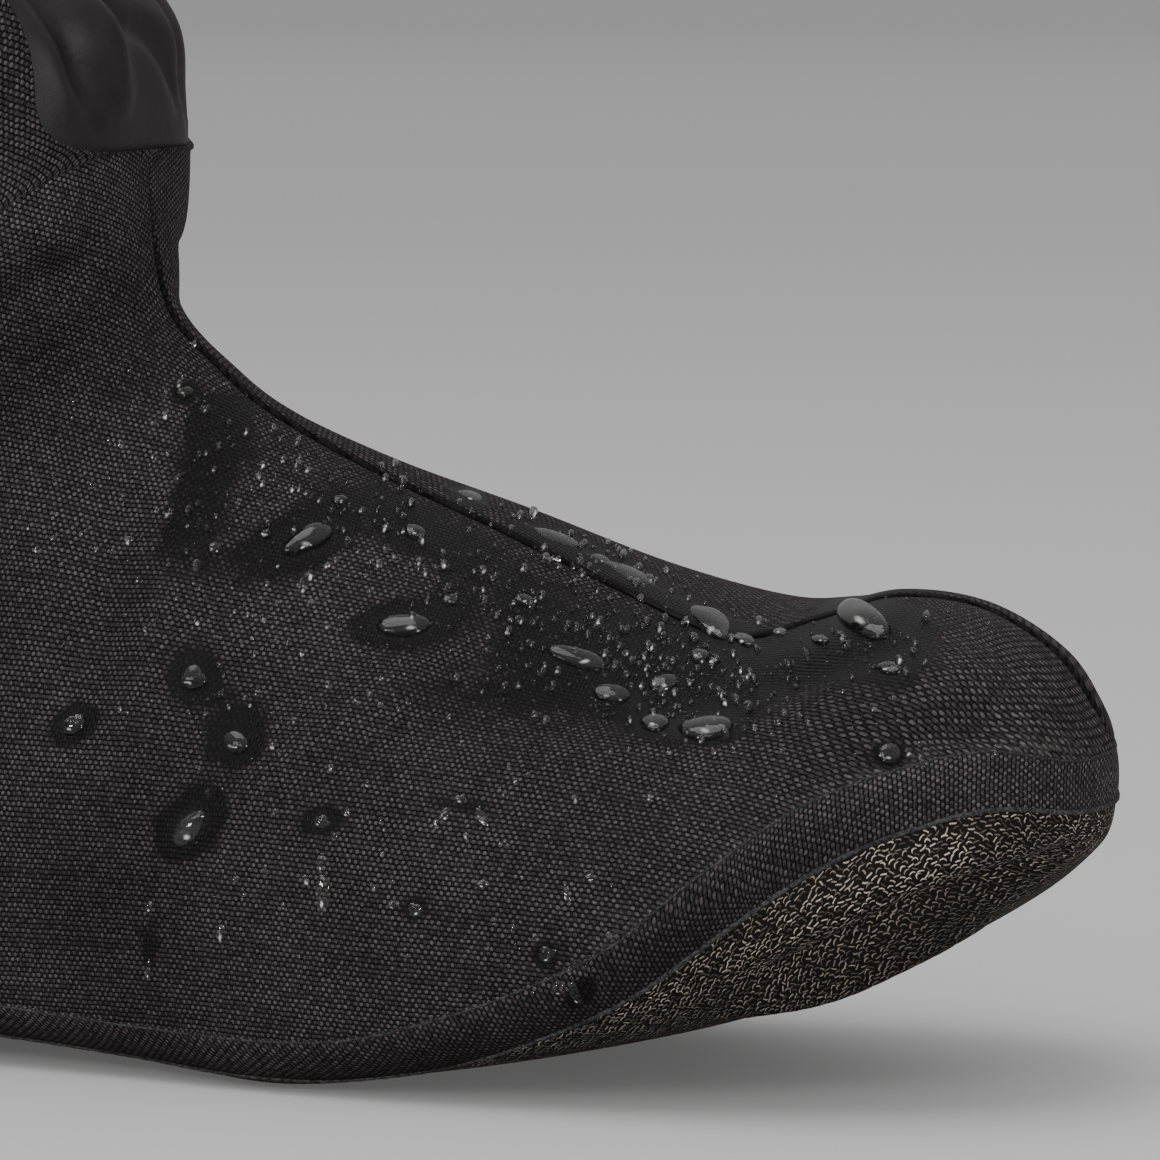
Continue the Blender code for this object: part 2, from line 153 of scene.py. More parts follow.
class ShoeForm:
    """The shoe's outer surface, from which every cloth piece is cut."""

    COLUMNS = ("top_x", "top_z", "base_x", "base_z", "near", "far", "crest",
               "waist", "crown", "floor", "seam")
    FOOT = (
        (0.500, 0.445, 0.500, 0.920, 0.000, 0.000, 0.020, 0.42, 2.0, 2.0, 0),
        (0.490, 0.480, 0.492, 0.850, 0.157, 0.135, 0.030, 0.42, 2.0, 2.1, 0),
        (0.463, 0.550, 0.463, 0.700, 0.278, 0.265, 0.040, 0.42, 2.1, 2.2, 0),
        (0.417, 0.601, 0.417, 0.530, 0.375, 0.365, 0.050, 0.40, 2.2, 2.3, 0),
        (0.367, 0.615, 0.367, 0.375, 0.435, 0.417, 0.080, 0.38, 2.2, 2.5, -6),
        (0.323, 0.598, 0.323, 0.290, 0.468, 0.440, 0.150, 0.36, 2.1, 2.7, -17),
        (0.273, 0.592, 0.273, 0.200, 0.495, 0.458, 0.195, 0.34, 2.0, 2.9, -25),
        (0.200, 0.632, 0.200, 0.105, 0.523, 0.477, 0.165, 0.30, 1.9, 3.3, -19),
        (0.117, 0.702, 0.117, 0.030, 0.528, 0.477, 0.100, 0.27, 1.9, 4.4, -14),
        (0.033, 0.766, 0.027, -0.030, 0.505, 0.454, 0.055, 0.25, 1.9, 5.5, -9),
    )
    HEEL = (
        (-0.033, 0.830, -0.073, 0.020, 0.573, 0.511, 0.030, 0.24, 1.9, 5.0, -5),
        (-0.069, 0.888, -0.193, 0.045, 0.539, 0.489, 0.010, 0.24, 1.9, 4.5, -3),
        (-0.092, 0.935, -0.327, -0.020, 0.517, 0.483, 0.000, 0.26, 2.0, 4.0, -2),
        (-0.105, 0.978, -0.447, -0.020, 0.500, 0.478, 0.000, 0.32, 2.2, 3.2, 0),
        (-0.110, 1.030, -0.500, 0.290, 0.494, 0.478, 0.000, 0.40, 2.7, 2.6, 0),
        (-0.113, 1.100, -0.500, 1.000, 0.494, 0.483, 0.000, 0.46, 3.3, 2.3, 0),
        (-0.115, 1.175, -0.487, 1.770, 0.500, 0.494, 0.000, 0.50, 3.5, 2.2, 0),
    )
    SHAFT = (
        (-0.116, 0.36, -0.473, -0.21, 0.484, 0.484, 0, 0.50, 3.4, 2.1, 0),
        (-0.121, 0.49, -0.467, 0.17, 0.495, 0.495, 0, 0.50, 3.2, 2.0, 0),
        (-0.155, 0.65, -0.467, 0.48, 0.500, 0.500, 0, 0.50, 2.8, 2.0, 0),
        (-0.172, 0.82, -0.467, 0.75, 0.500, 0.500, 0, 0.50, 2.5, 2.0, 0),
        (-0.175, 1.00, -0.467, 1.00, 0.495, 0.495, 0, 0.50, 2.4, 2.0, 0),
    )
    SEAM = (
        (-0.500, 0.18, 0.80), (-0.367, 0.17, 0.80), (-0.233, 0.13, 0.75),
        (-0.133, 0.090, 0.70), (-0.050, 0.060, 0.70), (0.017, 0.045, 0.70),
        (0.083, 0.050, 0.80), (0.133, 0.100, 0.90), (0.200, 0.235, 0.90),
        (0.267, 0.43, 0.92), (0.317, 0.65, 0.95), (0.367, 0.86, 1.00),
        (0.417, 1.00, 1.00), (0.467, 1.06, 0.98), (0.500, 1.01, 0.90),
    )
    TIP_SLOPE = 1.35
    TIP_SPAN = 0.02
    HEEL_SPAN = 1.5
    FOLD_REACH = 2.6
    FOLD_TAPER = 0.6
    FOLD_POINTS = 48
    SEARCH_POINTS = 801
    TURN_POINTS = 721
    ARC_POINTS = 161
    HEM_OVERLAP = 0.05

    def __init__(self, sizes: ShoeSizes, folds: tuple[Fold, ...]) -> None:
        """Works out the section table, the seam table and the folds' lines.

        Args:
            sizes: Driving sizes of the shoe.
            folds: Soft ridges and troughs that every piece follows.
        """
        self.sizes = sizes
        shaft = sizes.collar_height - sizes.instep_height
        self.sections = np.concatenate([
            self._in_metres(self.FOOT, sizes.instep_height, sizes.toe_lift, sizes.ball_width, 0.0),
            self._in_metres(self.HEEL, sizes.instep_height, sizes.heel_height, sizes.heel_width, 0.0),
            self._in_metres(self.SHAFT, shaft, shaft, sizes.shaft_width, sizes.instep_height),
        ])
        self.last = len(self.sections) - 1.0
        self.heel = len(self.FOOT) + 2.0
        self.seam_rows = np.array(self.SEAM) * (sizes.length, sizes.toe_lift, sizes.band_height)
        self.shift = np.array([0.0, sizes.side_shift, 0.0])
        self.folds = [(fold, self._line(fold.places)) for fold in folds]

    def _in_metres(self, rows: tuple, top: float, base: float, across: float, lift: float) -> Array:
        """Section rows with their shares turned into metres and their seam in radians.

        Args:
            rows: Rows of shares in the order of COLUMNS.
            top: Size that the upper heights are shares of.
            base: Size that the lower heights are shares of.
            across: Size that the widths are shares of.
            lift: Height that the shares are counted from.

        Returns:
            The table in metres.
        """
        table = np.array(rows, dtype=float)
        table[:, [0, 2]] *= self.sizes.length
        table[:, 1] = table[:, 1] * top + lift
        table[:, 3] = table[:, 3] * base + lift
        table[:, 4:7] *= across
        table[:, 10] = np.radians(table[:, 10])
        return table

    @staticmethod
    def smooth_curve(knots: Array, values: Array, at: Array, first_slope: Array | None = None) -> Array:
        """Cubic curve through the values, with slopes from each point's neighbours.

        Args:
            knots: Rising places of the values.
            values: One row of values for each knot.
            at: Places to read the curve at.
            first_slope: Slope at the first knot, where it isn't the first rise.

        Returns:
            Values at those places.
        """
        steps = np.diff(knots)[:, None]
        rises = np.diff(values, axis=0) / steps
        slopes = np.empty_like(values)
        slopes[0] = rises[0] if first_slope is None else first_slope
        slopes[-1] = rises[-1]
        slopes[1:-1] = (rises[:-1] * steps[1:] + rises[1:] * steps[:-1]) / (steps[1:] + steps[:-1])
        left = np.clip(np.searchsorted(knots, at, side="right") - 1, 0, len(knots) - 2)
        step = steps[left]
        t = (at[..., None] - knots[left][..., None]) / step
        rise = values[left + 1] - values[left]
        bend_in = slopes[left] * step - rise
        bend_out = rise - slopes[left + 1] * step
        return values[left] + rise * t + t * (1 - t) * (bend_in * (1 - t) + bend_out * t)

    def rows(self, section: Array) -> Array:
        """The section table read between its rows, which leave the tip square to it.

        Args:
            section: Section numbers.

        Returns:
            One row of the table for each section.
        """
        slope = np.zeros(len(self.COLUMNS))
        slope[4:6] = self.TIP_SLOPE * (self.sections[1, 4:6] - self.sections[0, 4:6])
        return self.smooth_curve(np.arange(len(self.sections)), self.sections, section, slope)

    def surface(self, section: Array, girth: Array) -> Array:
        """Outer surface without folds, before it is centred.

        Each section is a rounded outline between its top and its base. Its height is the
        waist plus a power of the cosine of the angle, and its half width a power of the
        sine, with 2 over the section's fullness as the power.

        Args:
            section: Section numbers.
            girth: Angles from the top.

        Returns:
            Points.
        """
        section, girth = np.broadcast_arrays(np.asarray(section, float), girth)
        row = dict(zip(self.COLUMNS, np.moveaxis(self.rows(section), -1, 0)))
        across, up = np.sin(girth), np.cos(girth)
        fullness = row["floor"] + (row["crown"] - row["floor"]) * (0.5 + 0.5 * np.tanh(4 * up))
        share = np.sign(up) * np.abs(up) ** (2 / fullness)
        waist = row["waist"]
        height = waist + np.where(share > 0, 1 - waist, waist) * share
        half = np.where(across < 0, row["near"], row["far"])
        lean = np.clip((height - waist) / (1 - waist), 0, 1) ** 1.5
        x = row["base_x"] + (row["top_x"] - row["base_x"]) * height
        y = row["crest"] * lean + half * np.sign(across) * np.abs(across) ** (2 / fullness)
        z = row["base_z"] + (row["top_z"] - row["base_z"]) * height
        return np.stack([x, y, np.maximum(z, 0)], axis=-1)

    def tangents(self, section: Array, girth: Array, step: float = 1e-3) -> tuple[Array, Array]:
        """Change of the surface per section and per angle.

        Args:
            section: Section numbers.
            girth: Girth angles.
            step: Step on each side in both.

        Returns:
            The change per section and the change per angle.
        """
        section, girth = np.broadcast_arrays(np.asarray(section, float), girth)
        along = self.surface(section + step, girth) - self.surface(section - step, girth)
        around = self.surface(section, girth + step) - self.surface(section, girth - step)
        return along / (2 * step), around / (2 * step)

    def normals(self, section: Array, girth: Array) -> Array:
        """Outward unit normals of the surface, which point straight ahead at the tip.

        Args:
            section: Section numbers.
            girth: Girth angles.

        Returns:
            One unit vector a place.
        """
        section = np.asarray(section, float)
        along, around = self.tangents(np.maximum(section, self.TIP_SPAN), girth)
        normal = np.cross(around, along)
        normal[..., 1] *= np.clip(section / self.TIP_SPAN, 0, 1)
        return normal / np.linalg.norm(normal, axis=-1, keepdims=True)

    def _line(self, places: Pairs) -> Array:
        """Points at even steps of a smooth line through surface places.

        Args:
            places: Pairs of section number and angle in degrees.

        Returns:
            Points, one a row.
        """
        knots = np.arange(len(places), dtype=float)
        table = np.array(places, dtype=float)
        table[:, 1] = np.radians(table[:, 1])
        read = self.smooth_curve(knots, table, np.linspace(0, knots[-1], self.FOLD_POINTS))
        return self.surface(read[:, 0], read[:, 1])

    def relief(self, point: Array) -> Array:
        """Height of the folds at points of the surface.

        A fold's height falls off as a bell curve of the distance from its line, and
        along the line as the root of a half sine wave.

        Args:
            point: Points of the surface.

        Returns:
            Heights along the normal.
        """
        flat = point.reshape(-1, 3)
        total = np.zeros(len(flat))
        for fold, line in self.folds:
            reach = self.FOLD_REACH * fold.width
            low, high = line.min(axis=0) - reach, line.max(axis=0) + reach
            near = np.flatnonzero(np.all((flat > low) & (flat < high), axis=1))
            if not near.size:
                continue
            gap = np.linalg.norm(flat[near, None] - line, axis=2)
            nearest = gap.argmin(axis=1)
            taper = np.sin(np.pi * (nearest + 0.5) / len(line)) ** self.FOLD_TAPER
            total[near] += fold.height * taper * np.exp(-(gap.min(axis=1) / fold.width) ** 2)
        return total.reshape(point.shape[:-1])

    def place(self, section: Array, girth: Array, rise: Array | float = 0.0) -> Array:
        """Centred points of the folded surface, raised along the normal.

        Args:
            section: Section numbers.
            girth: Angles from the top.
            rise: Height above the surface.

        Returns:
            Points in the shared frame, none of them under the floor.
        """
        section, girth = np.broadcast_arrays(np.asarray(section, float), girth)
        point = self.surface(section, girth)
        height = self.relief(point) + rise
        point = point + self.normals(section, girth) * height[..., None]
        point[..., 2] = np.maximum(point[..., 2], 0)
        return point + self.shift

    def above_seam(self, section: Array, girth: Array) -> tuple[Array, Array]:
        """Distance along the surface above the sole seam, and the band's height there.

        Args:
            section: Section numbers.
            girth: Girth angles.

        Returns:
            Distances and the band's heights.
        """
        point = self.surface(section, girth)
        normal = self.normals(section, girth)
        place = np.clip(point[..., 0], self.seam_rows[0, 0], self.seam_rows[-1, 0])
        nudge = 1e-3
        seam = self.smooth_curve(self.seam_rows[:, 0], self.seam_rows[:, 1:], place)
        ahead = self.smooth_curve(self.seam_rows[:, 0], self.seam_rows[:, 1:], place + nudge)
        slope = np.zeros_like(point)
        slope[..., 0] = (seam[..., 0] - ahead[..., 0]) / nudge
        slope[..., 2] = 1
        slope -= np.sum(slope * normal, axis=-1, keepdims=True) * normal
        steepness = np.maximum(np.linalg.norm(slope, axis=-1), 0.2)
        return (point[..., 2] - seam[..., 0]) / steepness, seam[..., 1]

    @staticmethod
    def first_crossing(places: Array, values: Array) -> Array:
        """Where each row of values, which starts below zero, first passes through it.

        Args:
            places: Place of each value.
            values: Values, in rows.

        Returns:
            One place a row.
        """
        index = np.maximum(np.argmax(values > 0, axis=-1), 1)[..., None]
        low = np.take_along_axis(values, index - 1, -1)[..., 0]
        high = np.take_along_axis(values, index, -1)[..., 0]
        before = np.take(places, index[..., 0] - 1)
        after = np.take(places, index[..., 0])
        return before + (after - before) * low / (low - high)

    def seam_angle(self, section: Array, side: Side, share: float, offset: float) -> Array:
        """Girth angle at which each section meets a line along the band on one side.

        Args:
            section: Section numbers.
            side: Side of the shoe.
            share: Share of the band's height.
            offset: Length added to it.

        Returns:
            One angle a section.
        """
        angles = side.value * np.linspace(math.pi, 0, self.TURN_POINTS)
        distance, band = self.above_seam(section[:, None], angles)
        return self.first_crossing(angles, distance - share * band - offset)

    def heel_end(self, share: float, offset: float) -> float:
        """Section whose base, at the back of the heel, meets a line along the band.

        Args:
            share: Share of the band's height.
            offset: Length added to it.

        Returns:
            The section number.
        """
        places = np.linspace(self.heel, self.heel + 4, self.SEARCH_POINTS)
        distance, band = self.above_seam(places, np.full_like(places, math.pi))
        return float(self.first_crossing(places, distance - share * band - offset))

    def section_at_height(self, height: float) -> float:
        """Section whose front end lies at a height on the shaft."""
        places = np.linspace(self.heel, self.last, self.SEARCH_POINTS)
        return float(self.first_crossing(places, self.rows(places)[:, 1] - height))

    def shaft_top(self) -> float:
        """Section at which the shaft's pieces end, a little inside the hem."""
        return self.section_at_height(self.sizes.collar_height - self.sizes.hem_height) + self.HEM_OVERLAP

    def front_speed(self, section: float) -> float:
        """Length of surface that one section spans at the shaft's front."""
        along, _ = self.tangents(np.array(section), 0.0)
        return float(np.linalg.norm(along))

    def foot_rows(self, end: float, even: int, closing: int) -> Array:
        """Section numbers from the toe tip, closing up where the seam rounds the heel."""
        first = np.linspace(0, end - self.HEEL_SPAN, even, endpoint=False)
        return np.concatenate([first, end - self.HEEL_SPAN * np.linspace(1, 0, closing) ** 2])

    def band_edge(self, side: Side, share: float, offset: float, even: int,
                  closing: int) -> tuple[Array, Array]:
        """Sections and girth angles of a line along the band, from the toe to the heel.

        Args:
            side: Side of the shoe.
            share: Share of the band's height.
            offset: Length added to it.
            even: Evenly spaced rows.
            closing: Rows that close up at the heel.

        Returns:
            Section numbers and girth angles.
        """
        rows = self.foot_rows(self.heel_end(share, offset), even, closing)
        angles = self.seam_angle(rows[:-1], side, share, offset)
        return rows, np.append(angles, side.value * math.pi)

    def arc_angles(self, section: Array, start: Array, end: Array,
                   lengths: Callable[[Array], Array]) -> Array:
        """Angles along each section's arc, at lengths measured on it.

        Args:
            section: Section numbers.
            start: First angle of each arc.
            end: Last angle of each arc.
            lengths: Function from the arcs' lengths to one length a column.

        Returns:
            One row of angles for each section.
        """
        share = np.linspace(0, 1, self.ARC_POINTS)
        angles = start[:, None] + (end - start)[:, None] * share
        points = self.surface(section[:, None], angles)
        travelled = run_along(points, 1)
        wanted = lengths(travelled[:, -1])
        return np.array([np.interp(*row) for row in zip(wanted, travelled, angles)])

    def slot_angles(self, section: Array, widths: Array, outwards: float) -> tuple[Array, Array]:
        """Near and far angles of the gusset's edge, moved outwards by a length.

        Args:
            section: Section numbers up the gusset's edge.
            widths: Share of the full width at each.
            outwards: Length by which the edges are moved outwards.

        Returns:
            Near and far angles.
        """
        climb = (section - section[0]) / (section[-1] - section[0])
        edges = []
        for angle, side in ((self.sizes.gusset_near, -1), (self.sizes.gusset_far, 1)):
            edge = side * np.radians(angle + self.sizes.gusset_flare * climb) * widths
            _, around = self.tangents(section, edge)
            speed = np.linalg.norm(around, axis=-1)
            edges.append(edge + side * outwards / speed * np.sign(widths))
        return edges[0], edges[1]

    def slot_rows(self, outwards: float, end: float, corner: int, straight: int) -> tuple[Array, Array]:
        """Section numbers up the gusset's edge, and the share of its width at each.

        Args:
            outwards: Length by which the foot of the slot is moved down.
            end: Last section.
            corner: Rows round the foot's corner.
            straight: Rows up the straight edge.

        Returns:
            Section numbers and width shares.
        """
        foot = self.section_at_height(self.sizes.gusset_foot)
        reach = self.section_at_height(self.sizes.gusset_foot + self.sizes.gusset_corner)
        start = foot - outwards / self.front_speed(foot)
        turn = np.linspace(0, math.pi / 2, corner)
        bend = start + (reach - start) * (1 - np.cos(turn))
        climb = np.linspace(bend[-1], end, straight + 1)[1:]
        return np.concatenate([bend, climb]), np.concatenate([np.sin(turn), np.ones(straight)])


@dataclass(frozen=True)
class PhotoView:
    """The camera of the photograph, by its angle, distance, aim and scale."""

    azimuth: float = 20.0
    elevation: float = 6.0
    distance: float = 1.2
    aim: tuple[float, float, float] = (0.0505, 0.0024, 0.088)
    pixels: int = 1160
    focal_pixels: float = 6600.0

    def axes(self) -> tuple[Array, Array, Array]:
        """Unit vectors towards the camera, to its right and up.

        Returns:
            The three vectors.
        """
        a, e = math.radians(self.azimuth), math.radians(self.elevation)
        back = np.array([math.sin(a) * math.cos(e), -math.cos(a) * math.cos(e), math.sin(e)])
        right = np.array([math.cos(a), math.sin(a), 0.0])
        return back, right, np.cross(back, right)

    def pixel(self, point: Array) -> Array:
        """Column and row in the photograph of points in the shared frame.

        Args:
            point: Points, with X, Y and Z last.

        Returns:
            Column and row of each point.
        """
        back, right, up = self.axes()
        away = np.asarray(point) - (np.array(self.aim) + back * self.distance)
        scale = self.focal_pixels / -(away @ back)
        half = self.pixels / 2
        return np.stack([half + (away @ right) * scale, half - (away @ up) * scale], axis=-1)

    def make_camera(self) -> bpy.types.Object:
        """The scene's camera, with its lens worked out from the scale.

        Returns:
            The camera.
        """
        back, _, _ = self.axes()
        data = bpy.data.cameras.new("photo_camera")
        data.sensor_width = 36.0
        data.lens = 36.0 * self.focal_pixels / self.pixels
        data.clip_start, data.clip_end = 0.05, 80.0
        camera = bpy.data.objects.new("photo_camera", data)
        camera.location = Vector(np.array(self.aim) + back * self.distance)
        camera.rotation_euler = Vector(-back).to_track_quat("-Z", "Y").to_euler()
        bpy.context.scene.collection.objects.link(camera)
        bpy.context.scene.camera = camera
        return camera


class SurfaceFinder:
    """Finds the surface place that shows at a pixel of the photograph."""

    NUDGE = 1e-2
    LEAST_AREA = 60.0
    ROWS = 420
    COLUMNS = 300
    LEAST_FACING = 0.03
    PART_SIZE = 150

    def __init__(self, form: ShoeForm, view: PhotoView) -> None:
        """Projects a coarse grid of the surface, keeping what faces the camera.

        Args:
            form: Surface of the shoe.
            view: Camera of the photograph.
        """
        self.form, self.view = form, view
        section, girth = np.meshgrid(np.linspace(0.05, form.last, self.ROWS),
                                     np.radians(np.linspace(-178, 178, self.COLUMNS)), indexing="ij")
        shown = self.facing(section, girth) > self.LEAST_FACING
        self.section, self.girth = section[shown], girth[shown]
        self.seen = view.pixel(form.place(self.section, self.girth)).astype(np.float32)

    def steps(self, section: Array, girth: Array) -> tuple[Array, Array, Array, Array]:
        """How surface places move over the photograph.

        Args:
            section: Section numbers.
            girth: Girth angles.

        Returns:
            Their pixels, the pixels that a unit of section and a unit of girth cross,
            and the area that those two span.
        """
        here = self.view.pixel(self.form.place(section, girth))
        along = (self.view.pixel(self.form.place(section + self.NUDGE, girth)) - here) / self.NUDGE
        around = (self.view.pixel(self.form.place(section, girth + self.NUDGE)) - here) / self.NUDGE
        return here, along, around, along[:, 0] * around[:, 1] - along[:, 1] * around[:, 0]

    def facing(self, section: Array, girth: Array) -> Array:
        """How far surface places face the camera, from minus one to one."""
        return self.form.normals(section, girth) @ self.view.axes()[0]

    def find(self, pixels: Array) -> tuple[Array, Array]:
        """Section numbers and girth angles that show at pixels.

        Args:
            pixels: Columns and rows, one pair a row.

        Returns:
            Section numbers and girth angles.
        """
        found = []
        parts = max(1, len(pixels) // self.PART_SIZE)
        for part in np.array_split(np.asarray(pixels, np.float32), parts):
            gap = (self.seen[:, 0] - part[:, :1]) ** 2 + (self.seen[:, 1] - part[:, 1:]) ** 2
            found.append(gap.argmin(axis=1))
        index = np.concatenate(found)
        section, girth = self.section[index], self.girth[index]
        for _ in range(2):
            here, along, around, area = self.steps(section, girth)
            miss = pixels - here
            least = self.LEAST_AREA
            area = np.where(np.abs(area) < least, np.sign(area) * least + (area == 0) * least, area)
            step = (miss[:, 0] * around[:, 1] - miss[:, 1] * around[:, 0]) / area
            turn = (along[:, 0] * miss[:, 1] - along[:, 1] * miss[:, 0]) / area
            section = np.clip(section + np.clip(step, -0.05, 0.05), 0.03, self.form.last)
            girth = girth + np.clip(turn, -0.03, 0.03)
        return section, girth


# Meshes

@dataclass
class Sheet:
    """An open grid of surface places, from which a cloth piece is made.

    Args:
        section: Section numbers, one a grid point.
        girth: Girth angles.
        rise: Height of the outer face over the surface.
        wall: Depth of the inner face under the surface.
        threads: Thread counts across and along the cloth, for its pattern.
        masks: Named values for the material, such as how wet the cloth is.
    """

    section: Array
    girth: Array
    rise: Array
    wall: Array
    threads: Array
    masks: dict[str, Array]


def grid_quads(rows: int, columns: int) -> NDArray[np.int64]:
    """Corner numbers of the faces of a grid, in one turning sense.

    Args:
        rows: Rows of points.
        columns: Points a row.

    Returns:
        Corner numbers, one face a row.
    """
    index = np.arange(rows * columns).reshape(rows, columns)
    corners = (index[:-1, :-1], index[1:, :-1], index[1:, 1:], index[:-1, 1:])
    return np.stack(corners, axis=-1).reshape(-1, 4)


def mesh_object(name: str, points: Array, faces: NDArray[np.int64], threads: Array | None,
                masks: dict[str, Array], material: bpy.types.Material,
                merge: float = 0.0) -> bpy.types.Object:
    """A smooth object from whole arrays, with its pattern map and masks.

    Args:
        name: Name of the piece.
        points: Vertex places.
        faces: Corner numbers, one face a row.
        threads: Pattern map value of each vertex, or None.
        masks: Named values of each vertex.
        material: Finish.
        merge: Distance under which vertices become one, or 0.

    Returns:
        The new object.
    """
    mesh = bpy.data.meshes.new(name)
    mesh.from_pydata(points.reshape(-1, 3), [], faces)
    if threads is not None:
        layer = mesh.uv_layers.new(name="threads")
        layer.uv.foreach_set("vector", threads.reshape(-1, 2)[faces.reshape(-1)].ravel())
    for label, values in masks.items():
        attribute = mesh.attributes.new(label, "FLOAT", "POINT")
        attribute.data.foreach_set("value", np.asarray(values, np.float32).ravel())
    if merge:
        work = bmesh.new()
        work.from_mesh(mesh)
        bmesh.ops.remove_doubles(work, verts=work.verts[:], dist=merge)
        bmesh.ops.dissolve_degenerate(work, edges=work.edges[:], dist=merge)
        work.to_mesh(mesh)
        work.free()
    mesh.update()
    mesh.shade_smooth()
    mesh.materials.append(material)
    piece = bpy.data.objects.new(name, mesh)
    bpy.context.scene.collection.objects.link(piece)
    return piece


def sheet_object(name: str, form: ShoeForm, sheet: Sheet, material: bpy.types.Material,
                 flip: bool) -> bpy.types.Object:
    """Closed cloth piece between a sheet's outer and inner faces.

    The outer face is the surface plus the normal times the rise, the inner face the
    surface minus the normal times the wall, and a strip of faces closes the four edges.

    Args:
        name: Name of the piece.
        form: Surface of the shoe.
        sheet: Grid to make the piece from.
        material: Finish.
        flip: True where the grid turns the other way round.

    Returns:
        The new object.
    """
    rows, columns = sheet.section.shape
    outer = form.place(sheet.section, sheet.girth, sheet.rise)
    inner = form.place(sheet.section, sheet.girth, -sheet.wall)
    count = rows * columns
    quads = grid_quads(rows, columns)
    index = np.arange(count).reshape(rows, columns)
    rim = np.concatenate([index[0, :-1], index[:-1, -1], index[-1, :0:-1], index[:0:-1, 0]])
    ahead = np.roll(rim, -1)
    strip = np.stack([rim, ahead, ahead + count, rim + count], axis=-1)
    faces = np.concatenate([quads, quads[:, ::-1] + count, strip])
    if flip:
        faces = faces[:, ::-1]
    points = np.concatenate([outer.reshape(-1, 3), inner.reshape(-1, 3)])
    threads = np.concatenate([sheet.threads.reshape(-1, 2)] * 2)
    masks = {label: np.concatenate([value.ravel()] * 2) for label, value in sheet.masks.items()}
    return mesh_object(name, points, faces, threads, masks, material, merge=2e-6)


def tube_object(name: str, path: Array, outward: Array, width: Array, height: Array,
                material: bpy.types.Material, sides: int = 10) -> bpy.types.Object:
    """A cord of oval profile carried along a path.

    Each profile point is the path plus the side vector times the width times a cosine
    plus the outward vector times the height times a sine.

    Args:
        name: Name of the piece.
        path: Points along the middle of the cord.
        outward: Unit vectors away from the shoe.
        width: Half widths along the path.
        height: Half heights along the path.
        material: Finish.
        sides: Points round the profile.

    Returns:
        The new object.
    """
    run = np.gradient(path, axis=0)
    run /= np.maximum(np.linalg.norm(run, axis=1, keepdims=True), 1e-9)
    across = np.cross(run, outward)
    across /= np.maximum(np.linalg.norm(across, axis=1, keepdims=True), 1e-9)
    turn = np.linspace(0, 2 * np.pi, sides, endpoint=False)
    ring = (path[:, None] + across[:, None] * (width[:, None] * np.cos(turn))[..., None]
            + outward[:, None] * (height[:, None] * np.sin(turn))[..., None])
    ring[..., 2] = np.maximum(ring[..., 2], 0)
    count = len(path)
    index = np.arange(count * sides).reshape(count, sides)
    beside = np.roll(index, -1, axis=1)
    faces = np.stack([index[:-1], index[1:], beside[1:], beside[:-1]], axis=-1).reshape(-1, 4)
    threads = np.stack(np.broadcast_arrays(run_along(path)[:, None] * 1000, turn[None] / 2), axis=-1)
    return mesh_object(name, ring, faces, threads, {}, material)


def solve_threads(point: Array, first: Array, second: Array, steps: int = 900) -> Array:
    """Thread counts whose lines follow wanted directions as closely as a cloth can.

    For each family of threads the count's slope along every grid edge should be the
    edge's length across the threads over their pitch. The counts that meet this best
    in the least squares sense are found by conjugate gradients.

    Args:
        point: Grid of points.
        first: Wanted slope of the first count, a vector at each point.
        second: Wanted slope of the second count.
        steps: Most gradient steps.

    Returns:
        The two counts at each grid point.
    """
    down, side = np.diff(point, axis=0), np.diff(point, axis=1)
    long_down = np.maximum(np.linalg.norm(down, axis=2), 1e-6)
    long_side = np.maximum(np.linalg.norm(side, axis=2), 1e-6)
    wide_down = np.pad(long_side, ((0, 0), (0, 1)), mode="edge")
    wide_side = np.pad(long_down, ((0, 1), (0, 0)), mode="edge")
    weight_down = np.clip((wide_down[1:] + wide_down[:-1]) / 2 / long_down, 0.05, 20)
    weight_side = np.clip((wide_side[:, 1:] + wide_side[:, :-1]) / 2 / long_side, 0.05, 20)

    def spread(flow_down: Array, flow_side: Array) -> Array:
        """Sum at each point of what flows in along its edges.

        Args:
            flow_down: Flow along the edges between rows.
            flow_side: Flow along the edges between columns.

        Returns:
            One sum a point.
        """
        total = np.zeros(point.shape[:2])
        total[1:] += flow_down
        total[:-1] -= flow_down
        total[:, 1:] += flow_side
        total[:, :-1] -= flow_side
        return total

    counts = []
    for slope in (first, second):
        want_down = np.sum(down * (slope[1:] + slope[:-1]) / 2, axis=2)
        want_side = np.sum(side * (slope[:, 1:] + slope[:, :-1]) / 2, axis=2)
        value = np.zeros(point.shape[:2])
        left = spread(weight_down * want_down, weight_side * want_side)
        move = left.copy()
        power = float(np.sum(left * left))
        for _ in range(steps):
            pull = spread(weight_down * np.diff(move, axis=0), weight_side * np.diff(move, axis=1))
            rate = power / float(np.sum(move * pull))
            value += rate * move
            left -= rate * pull
            fresh = float(np.sum(left * left))
            if fresh < 1e-6:
                break
            move = left + move * (fresh / power)
            power = fresh
        counts.append(value)
    return np.stack(counts, axis=-1)


# Finishes

